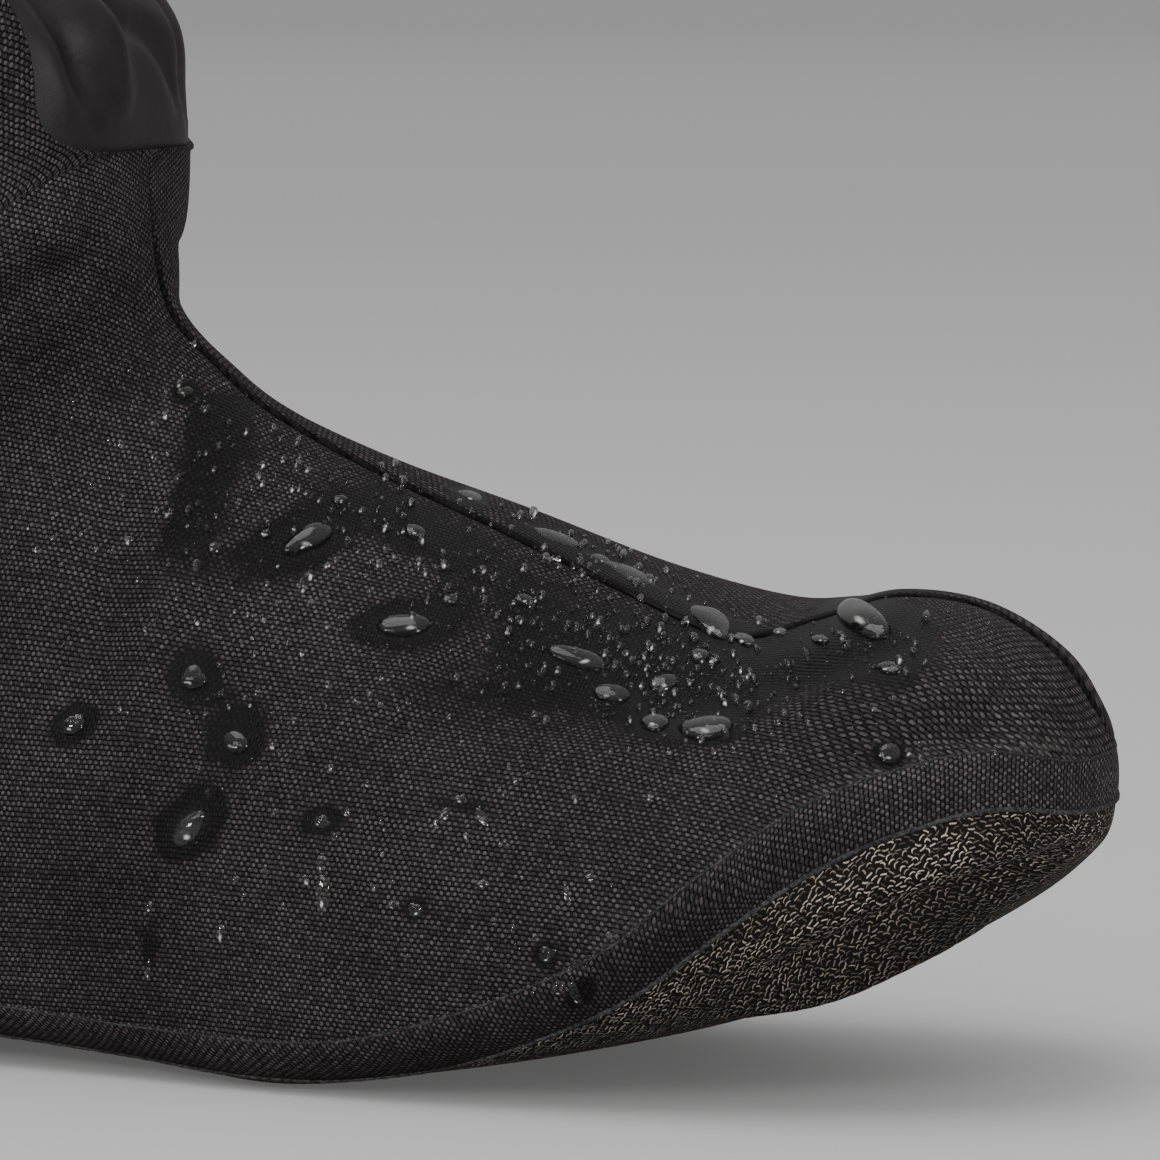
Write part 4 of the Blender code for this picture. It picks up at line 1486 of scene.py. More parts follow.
@dataclass
class WovenPanels:
    """The two woven side panels, joined over the foot, with the shared pattern."""

    wall: float = 0.0015
    seam_columns: tuple[float, ...] = (0.0, 0.0003, 0.0007, 0.0012, 0.0018, 0.0026, 0.0036, 0.0046,
                                       0.0052, 0.0058)
    strip_width: float = 0.0062
    strip_rise: float = 0.0005
    groove: float = 0.0005
    strip_edges: tuple[float, float] = (0.0009, 0.0010)
    groove_width: float = 0.0010
    seam_line: float = 0.0007
    stitch_place: float = 0.0060
    stitch_line: float = 0.0006
    seam_dark: float = 0.35
    seam_fades: tuple[float, float] = (1.2, 2.2)
    lap: float = 0.0006
    hem_width: float = 0.0040
    hem_rise: float = 0.0006
    hem_edge: float = 0.0008
    warp_pitch: float = 0.00058
    weft_pitch: float = 0.00088
    even_rows: int = 170
    closing_rows: int = 22
    ankle_rows: int = 10
    corner_rows: int = 14
    shaft_rows: int = 46
    columns: int = 84

    def _column_lengths(self, total: Array) -> Array:
        """Lengths of the columns: close ones over the seam strip, then even ones.

        Args:
            total: Length of each section's arc.

        Returns:
            One row of lengths for each arc.
        """
        strip = np.array(self.seam_columns) * np.minimum(1.0, total / 0.03)[:, None]
        rest = strip[:, -1:] + (total[:, None] - strip[:, -1:]) * np.linspace(0, 1, self.columns)[1:]
        return np.concatenate([strip, rest], axis=1)

    def _grid(self, form: ShoeForm, side: Side) -> tuple[Array, Array, Array, int]:
        """Sections, angles and seam fade of one panel's grid.

        Args:
            form: Surface of the shoe.
            side: Which panel.

        Returns:
            Section numbers, girth angles, the seam's fade by row and the row where the
            gusset's edge starts.
        """
        end = form.heel_end(1.0, -self.lap)
        foot = form.foot_rows(end, self.even_rows, self.closing_rows)
        slot, widths = form.slot_rows(0.0, form.shaft_top(), self.corner_rows, self.shaft_rows)
        ankle = np.linspace(foot[-1], slot[0], self.ankle_rows + 2)[1:-1]
        section = np.concatenate([foot, ankle, slot])
        start = form.rows(section)[:, form.COLUMNS.index("seam")]
        start[-len(slot):] *= 1 - np.sign(widths)
        near, far = form.slot_angles(slot, widths, 0.0)
        start[-len(slot):] += near if side is Side.OUTER else far
        finish = np.full_like(section, side.value * math.pi)
        finish[:len(foot)] = form.band_edge(side, 1.0, -self.lap, self.even_rows, self.closing_rows)[1]
        girth = form.arc_angles(section, start, finish, self._column_lengths)
        toe, ankle_span = self.seam_fades
        fade = np.clip(section / toe, 0, 1) * np.clip((slot[0] - section) / ankle_span, 0, 1) ** 1.5
        return section[:, None] + 0 * girth, girth, fade, len(foot) + len(ankle)

    def _slopes(self, form: ShoeForm, finder: SurfaceFinder, side: Side, section: Array,
                girth: Array, point: Array) -> tuple[Array, Array]:
        """Wanted slopes of the two thread counts over a panel.

        Each hint's angle is carried from the photograph onto the surface as a tangent,
        mirrored for the inner panel, and the hints are mixed by distance.

        Args:
            form: Surface of the shoe.
            finder: Pixel to surface search.
            side: Which panel.
            section: Section numbers.
            girth: Girth angles.
            point: Grid points.

        Returns:
            Slope vectors of the counts of the upright and of the cross threads.
        """
        hints = np.array([(h.column, h.row, math.radians(h.angle)) for h in OUTER_THREADS])
        at_section, at_girth = finder.find(hints[:, :2])
        place = form.place(at_section, at_girth)
        normal = form.normals(at_section, at_girth)
        _, right, up = finder.view.axes()
        cosine, sine = np.cos(hints[:, 2:]), np.sin(hints[:, 2:])
        run = np.cross(normal, up * cosine - right * sine)
        run *= np.sign(run @ right)[:, None]
        run /= np.linalg.norm(run, axis=1, keepdims=True)
        if side is Side.INNER:
            place[:, 1] = 2 * form.shift[1] - place[:, 1]
            run[:, 1] *= -1
        gap = np.linalg.norm(point[:, :, None] - place, axis=3)
        weight = 1 / (gap ** 3 + 1e-6)
        mixed = np.einsum("rch,hk->rck", weight, run)
        face = form.normals(section, girth)
        mixed -= np.sum(mixed * face, axis=2, keepdims=True) * face
        mixed /= np.maximum(np.linalg.norm(mixed, axis=2, keepdims=True), 1e-9)
        across = np.cross(face, mixed)
        return mixed / self.warp_pitch, across / self.weft_pitch

    def build(self, form: ShoeForm, finder: SurfaceFinder, material: bpy.types.Material,
              side: Side) -> bpy.types.Object:
        """One panel: its seam edge, its hem along the gusset and its masks.

        Args:
            form: Surface of the shoe.
            finder: Pixel to surface search.
            material: Finish.
            side: Which panel.

        Returns:
            The panel's object.
        """
        section, girth, fade, first_slot = self._grid(form, side)
        point = form.place(section, girth)
        travelled = run_along(point, 1)
        if side is Side.INNER:
            first, last = self.strip_edges
            bell = np.clip(travelled / first, 0, 1) * np.clip((self.strip_width - travelled) / last, 0, 1)
            rise = self.strip_rise * bell ** 0.5 * fade[:, None]
        else:
            rise = -self.groove * np.exp(-(travelled / self.groove_width) ** 2) * fade[:, None]
        hem = np.zeros_like(rise)
        hem[first_slot:] = np.clip((self.hem_width - travelled[first_slot:]) / self.hem_edge, 0, 1)
        rise = rise + self.hem_rise * hem
        first, second = self._slopes(form, finder, side, section, girth, point)
        seen, facing = finder.view.pixel(point), finder.facing(section, girth)
        # Painted shade and painted light: the shade patches darken and lighten the cloth, and the seam's
        # groove and stitch line are darkened as painted shade.
        shade = 1 + painted(seen, facing, SHADE_PATCHES)
        seam = np.exp(-(travelled / self.seam_line) ** 2) * fade[:, None]
        if side is Side.INNER:
            stitches = np.exp(-((travelled - self.stitch_place) / self.stitch_line) ** 2)
            seam = np.maximum(seam, stitches * fade[:, None])
        masks = {
            "wet": np.clip(painted(seen, facing, WET_PATCHES + under_drops()), 0, 1),
            "dust": np.clip(painted(seen, facing, DUST_AND_HIGHLIGHT_PATCHES), 0, 1),
            "shade": shade * (1 - self.seam_dark * seam),
            "calm": np.maximum(seam, np.clip(painted(seen, facing, under_drops()), 0, 1)),
        }
        sheet = Sheet(section, girth, rise, np.full_like(rise, self.wall),
                      solve_threads(point, first, second), masks)
        name = "outer_side_panel" if side is Side.OUTER else "inner_side_panel"
        return sheet_object(name, form, sheet, material, flip=side is Side.INNER)


@dataclass
class EdgeBand:
    """Binding round the lower edge, with a fuzzy cord along each side of it."""

    rise: float = 0.0002
    crown: float = 0.0003
    wall: float = 0.0021
    pitch: float = 0.00062
    run_share: float = 0.72
    lap: float = 0.0004
    even_rows: int = 240
    closing_rows: int = 40
    columns: int = 12
    upper_cord: float = 0.00018
    lower_cord: float = 0.00040
    cord_rows: int = 420
    cord_closing: int = 60
    cord_ripple: float = 0.18
    cord_width: float = 1.15
    cord_height: float = 0.8
    lint: float = 0.25
    lint_width: float = 0.12
    shade: float = 0.9
    top_shade: float = 0.25

    def build_band(self, form: ShoeForm, finder: SurfaceFinder,
                   material: bpy.types.Material) -> list[bpy.types.Object]:
        """The binding's two halves.

        Args:
            form: Surface of the shoe.
            finder: Pixel to surface search.
            material: Finish.

        Returns:
            The two objects.
        """
        pieces = []
        share = np.linspace(0, 1, self.columns + 1)
        for side in Side:
            low, low_angle = form.band_edge(side, 0.0, -self.lap, self.even_rows, self.closing_rows)
            high, high_angle = form.band_edge(side, 1.0, self.lap, self.even_rows, self.closing_rows)
            section = low[:, None] + (high - low)[:, None] * share
            girth = low_angle[:, None] + (high_angle - low_angle)[:, None] * share
            point = form.place(section, girth)
            run = run_along(point[:, self.columns // 2])
            width = np.linalg.norm(point[:, -1] - point[:, 0], axis=1)
            threads = np.stack(np.broadcast_arrays(
                width[:, None] * share / self.pitch, run[:, None] / self.pitch * self.run_share), axis=-1)
            rise = self.rise + self.crown * np.sin(np.pi * share) + 0 * girth
            seen, facing = finder.view.pixel(point), finder.facing(section, girth)
            masks = {
                "wet": np.clip(painted(seen, facing, BAND_WET), 0, 1),
                # Dust and painted highlight: lighter along the band's top edge.
                "dust": self.lint * np.exp(-((share - 1) / self.lint_width) ** 2) + 0 * girth,
                "shade": self.shade + self.top_shade * share ** 2 + painted(seen, facing, BAND_SHADES),
            }
            sheet = Sheet(section, girth, rise, np.full_like(rise, self.wall), threads, masks)
            pieces.append(sheet_object(f"edge_binding_{side.name.lower()}", form, sheet, material,
                                       flip=side is Side.OUTER))
        return pieces

    def build_cords(self, form: ShoeForm, material: bpy.types.Material) -> list[bpy.types.Object]:
        """The fuzzy cords along the binding's two edges, all round the shoe.

        Args:
            form: Surface of the shoe.
            material: Finish.

        Returns:
            The two cords.
        """
        pieces = []
        for name, share, size in (("binding_top_cord", 1.0, self.upper_cord),
                                  ("binding_sole_cord", 0.0, self.lower_cord)):
            lines = [form.band_edge(side, share, 0.0, self.cord_rows, self.cord_closing) for side in Side]
            section = np.concatenate([lines[0][0][::-1], lines[1][0][1:]])
            girth = np.concatenate([lines[0][1][::-1], lines[1][1][1:]])
            path = form.place(section, girth, self.rise + 0.3 * size)
            outward = form.normals(section, girth)
            count = np.arange(len(path))
            ripple = 1 + self.cord_ripple * np.sin(count * 1.7) * np.sin(count * 0.37)
            pieces.append(tube_object(name, path, outward, size * self.cord_width * ripple,
                                      size * self.cord_height * ripple, material))
        return pieces


@dataclass
class KnitSole:
    """The knitted shell under the foot."""

    wall: float = 0.0026
    pitch: float = 0.00165
    row_shift: int = 40
    pale_edge: float = 1.15
    pale_reach: float = 0.045
    pale_least: float = 0.3
    even_rows: int = 170
    closing_rows: int = 30
    columns: int = 44

    def build(self, form: ShoeForm, finder: SurfaceFinder,
              material: bpy.types.Material) -> list[bpy.types.Object]:
        """The sole's two halves, whose loops lie in rows along the binding.

        Args:
            form: Surface of the shoe.
            finder: Pixel to surface search.
            material: Finish.

        Returns:
            The two objects.
        """
        pieces = []
        for side in Side:
            section, start = form.band_edge(side, 0.0, 0.0003, self.even_rows, self.closing_rows)
            finish = np.full_like(start, side.value * math.pi)
            girth = form.arc_angles(section, start, finish, even_lengths(self.columns))
            section = section[:, None] + 0 * girth
            point = form.place(section, girth)
            edge, down = run_along(point[:, 0]), run_along(point, 1)
            threads = np.stack([edge[:, None] / self.pitch + 0 * down, down / self.pitch + self.row_shift],
                               axis=-1)
            seen, facing = finder.view.pixel(point), finder.facing(section, girth)
            pale = np.clip(self.pale_edge - down / self.pale_reach, self.pale_least, 1.0)
            # Painted shade and painted light: loops darker below the sole's crease and paler along its ridge.
            pale *= 1 + painted(seen, facing, SOLE_SHADES)
            sheet = Sheet(section, girth, 0.0 * girth, np.full_like(girth, self.wall), threads,
                          {"pale": pale})
            pieces.append(sheet_object(f"knit_sole_{side.name.lower()}", form, sheet, material,
                                       flip=side is Side.INNER))
        return pieces


@dataclass
class AnkleGusset:
    """Smooth folded cloth between the panels at the front of the ankle."""

    wall: float = 0.0012
    sink: float = 0.0016
    swell: float = 0.0012
    tuck: float = 0.0030
    foot_span: float = 0.45
    edge_share: float = 1 / 9
    pitch: float = 0.0004
    corner_rows: int = 16
    shaft_rows: int = 60
    columns: int = 70
    folds: tuple[Fold, ...] = (
        Fold(((20.0, -26), (18.4, -24), (17.2, -18), (16.4, -12)), -0.0034, 0.0042),
        Fold(((20.0, -12), (18.6, -10), (17.4, -6), (16.6, -2)), 0.0024, 0.0042),
        Fold(((19.2, -20), (18.2, -4), (17.2, 10), (16.5, 14)), -0.0026, 0.0036),
        Fold(((19.6, 8), (18.4, 16), (17.2, 22), (16.4, 22)), -0.0022, 0.0040),
        Fold(((18.0, -30), (17.2, -26), (16.8, -18), (16.6, -8)), 0.0016, 0.0034),
    )

    def build(self, form: ShoeForm, material: bpy.types.Material) -> bpy.types.Object:
        """The gusset, sunk under the panels' edges and deeply folded.

        Args:
            form: Surface of the shoe.
            material: Finish.

        Returns:
            The gusset's object.
        """
        section, widths = form.slot_rows(self.tuck, form.shaft_top(), self.corner_rows, self.shaft_rows)
        near, far = form.slot_angles(section, widths, self.tuck)
        girth = form.arc_angles(section, near, far, even_lengths(self.columns))
        section = section[:, None] + 0 * girth
        point = form.place(section, girth)
        share = np.linspace(0, 1, self.columns + 1)
        foot = np.clip((section - section[0, 0]) / self.foot_span, 0, 1)
        inside = np.clip(np.minimum(share, 1 - share) / self.edge_share, 0, 1) * foot
        pleats = ShoeForm(form.sizes, self.folds).relief(point - form.shift)
        rise = -self.sink + inside * (self.swell + pleats)
        run, climb = run_along(point, 1), run_along(point[:, self.columns // 2])
        threads = np.stack([run / self.pitch, climb[:, None] / self.pitch + 0 * run], axis=-1)
        sheet = Sheet(section, girth, rise, self.wall - rise, threads, {})
        return sheet_object("ankle_gusset", form, sheet, material, flip=True)


@dataclass
class CollarHem:
    """Turned hem round the top of the shaft."""

    rise: float = 0.0006
    wall: float = 0.0025
    channel: float = 0.0005
    channel_place: float = 0.22
    channel_width: float = 0.05
    pitch: float = 0.00092
    columns: int = 300
    rows: int = 16

    def build(self, form: ShoeForm, material: bpy.types.Material) -> bpy.types.Object:
        """The hem as one closed ring of rounded profile.

        The profile runs up the outside, over the rounded rim and down the inside, with
        a shallow stitched channel a little above the lower edge.

        Args:
            form: Surface of the shoe.
            material: Finish.

        Returns:
            The hem's object.
        """
        start = form.section_at_height(form.sizes.collar_height - form.sizes.hem_height)
        turn = np.linspace(0, 1, self.rows)
        climb = np.sin(turn * np.pi / 2)
        channel = self.channel * np.exp(-((turn - self.channel_place) / self.channel_width) ** 2)
        outside = self.rise * np.sqrt(np.maximum(1 - turn ** 6, 0)) - channel - self.wall / 2 * turn ** 8
        inside = -self.wall + self.wall / 2 * turn ** 8
        section = start + (form.last - start) * np.concatenate([climb, climb[::-1], climb[:1]])
        depth = np.concatenate([outside, inside[::-1], outside[:1]])
        around = np.linspace(-np.pi, np.pi, self.columns + 1)
        grid = section[:, None] + 0 * around
        girth = form.arc_angles(section, np.full_like(section, -np.pi), np.full_like(section, np.pi),
                                even_lengths(self.columns))
        point = form.place(grid, girth, depth[:, None] + 0 * girth)
        run, climbed = run_along(point[0]), run_along(point[:, 0])
        threads = np.stack(np.broadcast_arrays(run[None] / self.pitch, climbed[:, None] / self.pitch), -1)
        flat = {"wet": 0 * girth, "dust": 0 * girth, "shade": 1 + 0 * girth}
        faces = grid_quads(*girth.shape)
        return mesh_object("collar_hem_ring", point, faces, threads, flat, material, merge=2e-6)


# Water

@dataclass(frozen=True)
class Drop:
    """A standing drop, by its pixel, its size there, its turn and its lobes."""

    column: float
    row: float
    wide: float
    high: float
    turn: float
    tall: float = 0.30
    lobe: float = 0.12


LARGE_DROPS = (
    Drop(858, 614, 23, 14, 5, 0.42), Drop(712, 622, 26, 12, 38, 0.36), Drop(308, 538, 27, 13, -24, 0.34),
    Drop(404, 625, 29, 11, -4, 0.32), Drop(74, 724, 15, 10, -35, 0.38), Drop(190, 826, 21, 12, -50, 0.3),
    Drop(556, 539, 28, 7, 18, 0.34), Drop(578, 658, 32, 10, 16, 0.32), Drop(708, 727, 27, 13, -6, 0.36),
    Drop(655, 722, 16, 9, 10, 0.34), Drop(612, 694, 22, 9, 8, 0.34), Drop(664, 684, 16, 9, -12, 0.4),
    Drop(890, 754, 13, 10, 0, 0.42), Drop(889, 668, 14, 7, 10, 0.34), Drop(322, 822, 9, 8, 0, 0.4),
    Drop(322, 862, 5, 11, 0, 0.4), Drop(323, 890, 8, 20, 0, 0.26), Drop(460, 800, 8, 5, 0, 0.4),
    Drop(444, 815, 5, 9, 30, 0.3), Drop(482, 818, 6, 12, -30, 0.3), Drop(416, 909, 9, 8, 0, 0.5),
    Drop(546, 954, 9, 9, 0, 0.5), Drop(559, 987, 9, 8, 0, 0.5), Drop(576, 994, 6, 14, -30, 0.4),
    Drop(650, 799, 6, 5, 0, 0.5), Drop(483, 884, 7, 5, 0, 0.45), Drop(567, 893, 4, 11, -14, 0.4),
    Drop(590, 878, 6, 5, 0, 0.45), Drop(194, 678, 15, 12, -30, 0.3), Drop(236, 742, 14, 12, 30, 0.28),
    Drop(415, 532, 12, 7, 10, 0.4), Drop(340, 500, 8, 5, 0, 0.4), Drop(470, 497, 14, 6, 18, 0.34),
    Drop(630, 575, 30, 8, 24, 0.28), Drop(600, 560, 12, 5, 20, 0.34), Drop(745, 640, 12, 6, 20, 0.36),
    Drop(700, 656, 10, 7, 0, 0.4), Drop(524, 600, 10, 6, 10, 0.36), Drop(450, 600, 9, 6, 0, 0.36),
    Drop(820, 640, 9, 5, 0, 0.4), Drop(780, 632, 8, 4, 0, 0.4), Drop(148, 970, 4, 12, 4, 0.34),
    Drop(185, 392, 9, 6, 0, 0.36), Drop(215, 548, 8, 6, 0, 0.4), Drop(150, 905, 5, 5, 0, 0.4),
)


def under_drops() -> tuple[Patch, ...]:
    """Wet spots on the cloth a little wider than the standing drops."""
    return tuple(Patch(d.column, d.row, 1.25 * d.wide + 3, 1.25 * d.high + 3, d.turn, 1.0)
                 for d in LARGE_DROPS if d.wide > 8)


@dataclass(frozen=True)
class Shower:
    """A cloud of small beads: its middle, size and turn in the photograph, and their count."""

    column: float
    row: float
    wide: float
    high: float
    turn: float
    count: int
    small: float = 1.1
    large: float = 5.0


SHOWERS = (
    Shower(300, 500, 130, 70, 12, 330), Shower(480, 590, 170, 80, 20, 470),
    Shower(640, 660, 130, 60, 12, 430),
    Shower(700, 690, 90, 50, 0, 240), Shower(830, 660, 80, 40, -10, 170), Shower(240, 640, 100, 100, 0, 190),
    Shower(420, 700, 160, 60, -4, 200), Shower(120, 520, 90, 120, 0, 130), Shower(500, 830, 150, 60, -8, 90),
    Shower(300, 840, 160, 80, 0, 80), Shower(600, 560, 90, 22, 22, 130), Shower(900, 740, 40, 30, 0, 40),
    Shower(560, 960, 50, 30, 0, 30), Shower(190, 400, 60, 40, 0, 60),
)


@dataclass
class RainWater:
    """The rain on the cloth: standing drops and a spray of small beads."""

    seed: int = 11
    rings: int = 8
    spokes: int = 28
    bead_rings: int = 3
    bead_spokes: int = 9
    bead_share: float = 0.68
    cloud_spread: float = 0.62
    small_power: float = 2.2
    miss_limit: float = 2.0
    slant_limit: float = 0.4
    dome_power: float = 0.62
    foot_depth: float = 0.00025
    tall_gain: float = 1.5
    # Place and size of the painted glint on standing drops and on beads.
    painted_glint_ring: float = 0.55
    drop_painted_glint: tuple[float, float] = (0.14, 0.45)
    bead_painted_glint: tuple[float, float] = (0.24, 0.65)

    def _domes(self, name: str, form: ShoeForm, finder: SurfaceFinder, pixels: Array, size: Array,
               turn: Array, tall: Array, lobe: Array, rings: int, spokes: int, clear: float,
               material: bpy.types.Material, rng: np.random.Generator) -> bpy.types.Object:
        """Domes that follow the surface under them.

        A dome's outline is an oval whose radius swells and shrinks by a few random
        waves. Its height is the tallest height times a power of one less the square
        of the distance from its middle, and its foot is a little under the cloth. An
        attribute marks a crescent low on the dome, turned a little at random, where the
        water's finish paints a glowing glint.

        Args:
            name: Name of the piece.
            form: Surface of the shoe.
            finder: Pixel to surface search.
            pixels: Columns and rows of the middles.
            size: Half widths and half heights in pixels.
            turn: Turns in the photograph.
            tall: Heights as shares of the smaller half width.
            lobe: How uneven the outlines are.
            rings: Rings of faces from the middle out.
            spokes: Points round each ring.
            clear: Height of the foot over the surface.
            material: Finish.
            rng: Random numbers.

        Returns:
            All the domes as one object.
        """
        section, girth = finder.find(pixels)
        view = finder.view
        _, along, around, area = finder.steps(section, girth)
        ring = np.concatenate([[0.0], np.linspace(1 / rings, 1, rings)])
        angle = np.linspace(0, 2 * np.pi, spokes, endpoint=False)
        wave = 1 + lobe[:, None] * sum(
            rng.normal(size=(len(pixels), 1)) / k * np.cos(k * angle + rng.uniform(0, 6.28, (len(pixels), 1)))
            for k in (2, 3, 4))
        ring_wide = ring[None, :, None] * wave[:, None, :]
        x = ring_wide * np.cos(angle) * size[:, 0, None, None]
        y = ring_wide * np.sin(angle) * size[:, 1, None, None]
        cosine, sine = np.cos(turn)[:, None, None], np.sin(turn)[:, None, None]
        column, row = x * cosine - y * sine, x * sine + y * cosine
        reach = np.hypot(size * np.cos(turn)[:, None], size[:, ::-1] * np.sin(turn)[:, None])
        across, down = column / reach[:, 0, None, None], row / reach[:, 1, None, None]
        aside = rng.uniform(-0.7, 0.5, len(pixels))[:, None, None]
        standing = rings > self.bead_rings
        thick, turned = self.drop_painted_glint if standing else self.bead_painted_glint
        # Painted glint: a crescent low on the dome that the water's finish makes glow.
        painted_glint = np.exp(-((np.hypot(across, down) - self.painted_glint_ring) / thick) ** 2
                       - ((np.arctan2(across, down) - aside) / turned) ** 2)
        chance = rng.random(len(pixels))
        bright = 0.75 + 0.4 * chance if standing else 1.4 * chance * np.clip(size[:, 0] / 4.0, 0.4, 1)
        painted_glint *= bright[:, None, None]
        cell = area[:, None, None]
        step = (column * around[:, 1, None, None] - row * around[:, 0, None, None]) / cell
        spin = (along[:, 0, None, None] * row - along[:, 1, None, None] * column) / cell
        body = size.min(axis=1) * view.distance / view.focal_pixels
        dome = np.maximum(1 - ring ** 2, 0) ** self.dome_power
        height = (tall * body)[:, None, None] * dome[None, :, None] + clear + 0 * x
        height[:, -1] = clear - self.foot_depth
        at = np.clip(section[:, None, None] + step, 0.02, form.last)
        points = form.place(at, girth[:, None, None] + spin, height)
        count = len(pixels)
        middle = np.arange(count) * (rings * spokes + 1)
        inner = middle[:, None, None] + 1 + np.arange(rings * spokes).reshape(rings, spokes)
        vertices = np.concatenate([points[:, 0, :1].reshape(count, 1, 3),
                                   points[:, 1:].reshape(count, rings * spokes, 3)], axis=1)
        glow = np.concatenate([painted_glint[:, 0, :1], painted_glint[:, 1:].reshape(count, rings * spokes)], axis=1)
        beside = np.roll(inner, -1, axis=2)
        walls = np.stack([inner[:, :-1], inner[:, 1:], beside[:, 1:], beside[:, :-1]], -1).reshape(-1, 4)
        hub = middle[:, None] + 0 * inner[:, 0]
        caps = np.stack([hub, inner[:, 0], beside[:, 0], hub], -1).reshape(-1, 4)
        faces = [*map(tuple, walls.tolist()), *map(tuple, caps[:, :3].tolist())]
        mesh = bpy.data.meshes.new(name)
        mesh.from_pydata(vertices.reshape(-1, 3), [], faces)
        attribute = mesh.attributes.new("painted_glint", "FLOAT", "POINT")
        attribute.data.foreach_set("value", glow.astype(np.float32).ravel())
        work = bmesh.new()
        work.from_mesh(mesh)
        bmesh.ops.holes_fill(work, edges=[e for e in work.edges if e.is_boundary], sides=0)
        bmesh.ops.recalc_face_normals(work, faces=work.faces[:])
        work.to_mesh(mesh)
        work.free()
        mesh.shade_smooth()
        mesh.materials.append(material)
        piece = bpy.data.objects.new(name, mesh)
        bpy.context.scene.collection.objects.link(piece)
        return piece

    def build(self, form: ShoeForm, finder: SurfaceFinder,
              material: bpy.types.Material) -> list[bpy.types.Object]:
        """The standing drops and the small beads.

        Args:
            form: Surface of the shoe.
            finder: Pixel to surface search.
            material: Finish.

        Returns:
            The two objects.
        """
        rng = np.random.default_rng(self.seed)
        table = np.array([(d.column, d.row, d.wide, d.high, math.radians(d.turn),
                           d.tall * self.tall_gain, d.lobe)
                          for d in LARGE_DROPS])
        drops = self._domes("standing_drops", form, finder, table[:, :2], table[:, 2:4], table[:, 4],
                            table[:, 5], table[:, 6], self.rings, self.spokes, 0.0001, material, rng)
        spots, sizes = [], []
        for cloud in SHOWERS:
            angle = math.radians(cloud.turn)
            beads = round(cloud.count * self.bead_share)
            spread = rng.normal(size=(beads, 2)) * (cloud.wide, cloud.high) * self.cloud_spread
            spots.append(np.stack([
                cloud.column + spread[:, 0] * math.cos(angle) - spread[:, 1] * math.sin(angle),
                cloud.row + spread[:, 0] * math.sin(angle) + spread[:, 1] * math.cos(angle)], axis=1))
            radius = cloud.small * (cloud.large / cloud.small) ** (rng.random(beads) ** self.small_power)
            sizes.append(radius[:, None] * (1 + 0.5 * rng.random((beads, 2))))
        spots, sizes = np.concatenate(spots), np.concatenate(sizes)
        section, girth = finder.find(spots)
        here, along, around, area = finder.steps(section, girth)
        miss = np.linalg.norm(here - spots, axis=1)
        square = np.linalg.norm(along, axis=1) * np.linalg.norm(around, axis=1)
        keep = (miss < self.miss_limit) & (np.abs(area) > self.slant_limit * square)
        spots, sizes = spots[keep], sizes[keep]
        count = len(spots)
        beads = self._domes("rain_beads", form, finder, spots, sizes, rng.uniform(0, 3.14, count),
                            rng.uniform(0.8, 1.3, count), np.full(count, 0.08), self.bead_rings,
                            self.bead_spokes, 0.0, material, rng)
        return [drops, beads]


# Stage

@dataclass(frozen=True)
class Lamp:
    """A soft rectangular light. The low strips leave no shadow on the floor."""

    name: str
    place: tuple[float, float, float]
    aim: tuple[float, float, float]
    power: float
    size: tuple[float, float]
    shadow: bool = True


LAMPS = (
    Lamp("overhead_softbox", (-0.5, -0.3, 2.2), (0.05, 0, 0.05), 33.0, (1.6, 1.6)),
    Lamp("front_softbox", (-0.50, -1.50, 0.85), (0.05, 0, 0.05), 6.0, (0.9, 0.5)),
    Lamp("left_strip", (-0.75, -1.35, 0.22), (0.0, 0, 0.08), 15.0, (0.40, 0.20), False),
    Lamp("right_strip", (1.25, -1.05, 0.30), (0.0, 0, 0.08), 24.0, (0.45, 0.30), False),
)


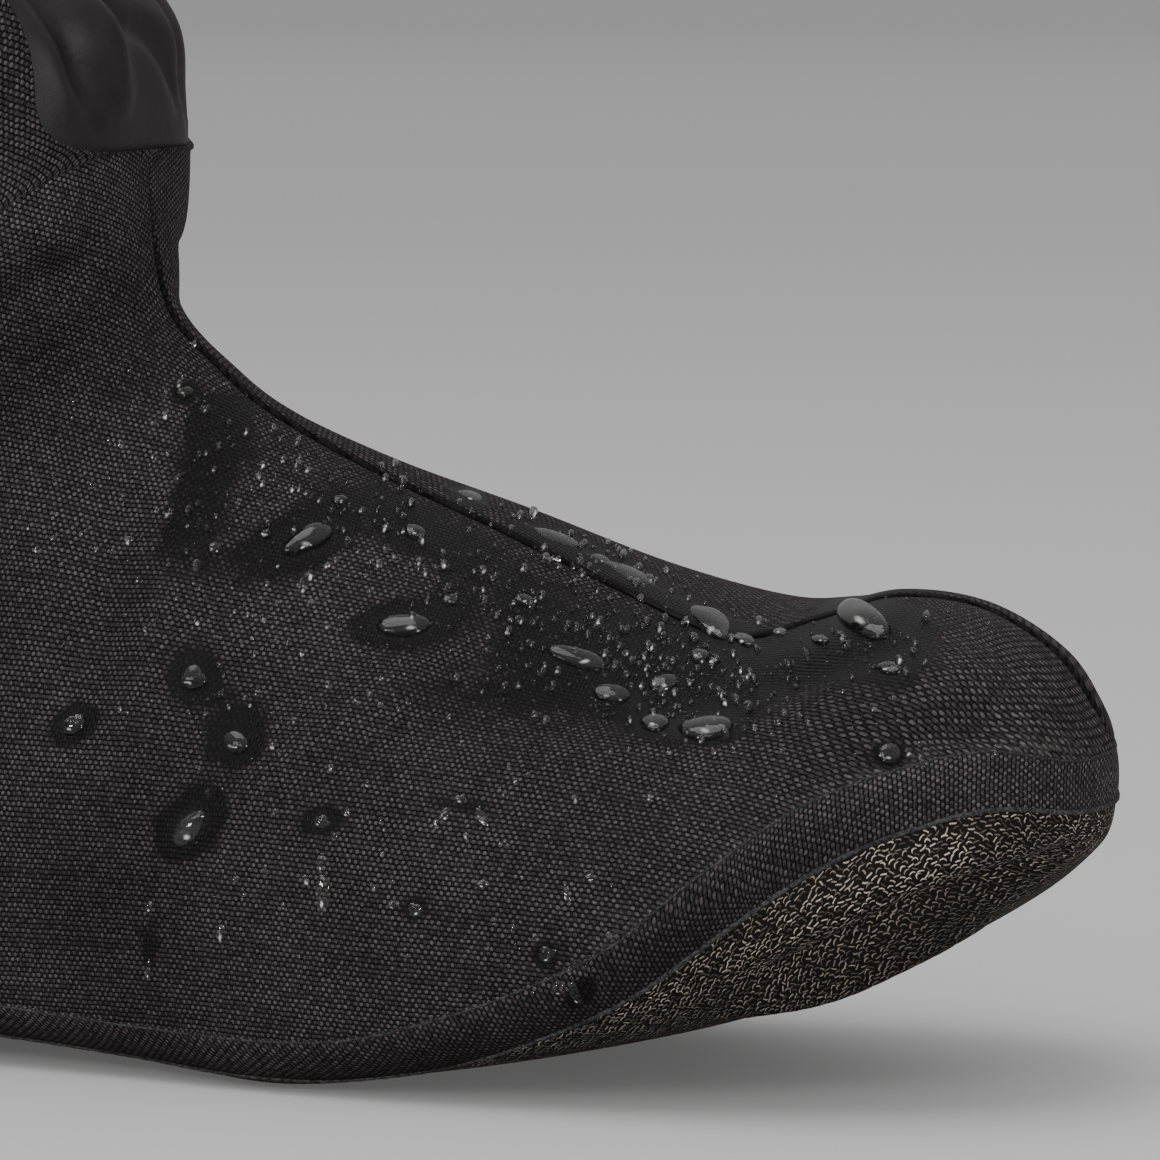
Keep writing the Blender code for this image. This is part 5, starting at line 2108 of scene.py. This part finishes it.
@dataclass
class Stage:
    """Pale floor, with painted shade that darkens it far away, and soft light."""

    floor_size: float = 60.0
    floor_grey: float = 0.384
    far_reach: tuple[float, float] = (5.0, 9.5)
    far_painted_shade: float = 0.84
    zenith: float = 1.15
    horizon: float = 0.28

    @staticmethod
    def _light(lamp: Lamp) -> None:
        """Puts one light in the scene.

        Args:
            lamp: The light.
        """
        data = bpy.data.lights.new(lamp.name, "AREA")
        data.shape = "RECTANGLE"
        data.size, data.size_y = lamp.size
        data.energy = lamp.power
        data.use_shadow = lamp.shadow
        holder = bpy.data.objects.new(lamp.name, data)
        holder.location = lamp.place
        turn = (Vector(lamp.aim) - Vector(lamp.place)).to_track_quat("-Z", "Y")
        holder.rotation_euler = turn.to_euler()
        bpy.context.scene.collection.objects.link(holder)

    def _sky(self) -> None:
        """A dome of light that is bright overhead and dim round the horizon."""
        world = bpy.data.worlds.new("soft_sky")
        world.use_nodes = True
        make = NodeMaker(world.node_tree)
        background = world.node_tree.nodes["Background"]
        climb = make.split(make.add("TexCoord").outputs["Generated"])[2]
        glow = make.range(climb, 0.0, 0.85, self.horizon, self.zenith)
        make.tree.links.new(make.join(glow, glow, glow), background.inputs["Color"])
        bpy.context.scene.world = world

    def build(self) -> None:
        """The floor, with painted shade that darkens it far away, the sky and the lights."""
        half = self.floor_size / 2
        corners = np.array([(-half, -half, 0), (half, -half, 0), (half, half, 0), (-half, half, 0)], float)
        material, make, shader = new_material("pale_floor")
        away = make.add("VectorMath", {0: make.add("TexCoord").outputs["Object"]}, operation="LENGTH")
        # Painted shade: the floor's colour falls off with distance in place of the light falling off.
        share = make.range(away.outputs["Value"], *self.far_reach, 1.0, self.far_painted_shade)
        tone = make.math("MULTIPLY", share, self.floor_grey)
        make.tree.links.new(make.join(tone, tone, tone), shader.inputs["Base Color"])
        shader.inputs["Roughness"].default_value = 0.9
        shader.inputs["Specular IOR Level"].default_value = 0.1
        floor = mesh_object("studio_floor", corners, np.array([[0, 1, 2, 3]]), None, {}, material)
        self._sky()
        for lamp in LAMPS:
            self._light(lamp)


def dress(piece: bpy.types.Object, slot: str, *nodes: str) -> bpy.types.Object:
    """Carries a piece along with the root, hides the solids that it replaces and logs its triangles.

    Args:
        piece: The piece.
        slot: Not used.
        nodes: Solids that it replaces.

    Returns:
        The same piece.
    """
    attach(piece, "root")
    if nodes:
        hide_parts(*nodes)
    piece.data.calc_loop_triangles()
    log.info("%s: %d triangles", piece.name, len(piece.data.loop_triangles))
    return piece


def main() -> None:
    """Builds every sub-assembly in order and reports each piece."""
    logging.basicConfig(level=logging.INFO, format="%(message)s")
    form = ShoeForm(ShoeSizes(), FOLDS)
    view = PhotoView()
    view.make_camera()
    finder = SurfaceFinder(form, view)
    patterns = ClothPatterns()
    woven = WovenFinish("loose_black_weave").make(patterns)
    binding = WovenFinish("binding_weave", crown=0.027, valley=0.0022, warm=0.22, waver=0.25,
                          depth=0.0002).make(patterns)
    knit = KnitFinish().make(patterns)
    smooth = SmoothFinish().make(patterns)
    fuzz = CordFinish().make()
    water = WaterFinish().make()

    panels = WovenPanels()
    for side in Side:
        dress(panels.build(form, finder, woven, side), "woven_cloth", "upper")
    band = EdgeBand()
    for piece in band.build_band(form, finder, binding):
        dress(piece, "band_cloth", "edge_band")
    for piece in band.build_cords(form, fuzz):
        dress(piece, "band_cloth")
    for piece in KnitSole().build(form, finder, knit):
        dress(piece, "knit", "sole")
    dress(AnkleGusset().build(form, smooth), "smooth_cloth", "gusset")
    dress(CollarHem().build(form, woven), "woven_cloth", "collar_hem")
    for piece in RainWater().build(form, finder, water):
        dress(piece, "woven_cloth")
    Stage().build()


if __name__ == "__main__":
    main()
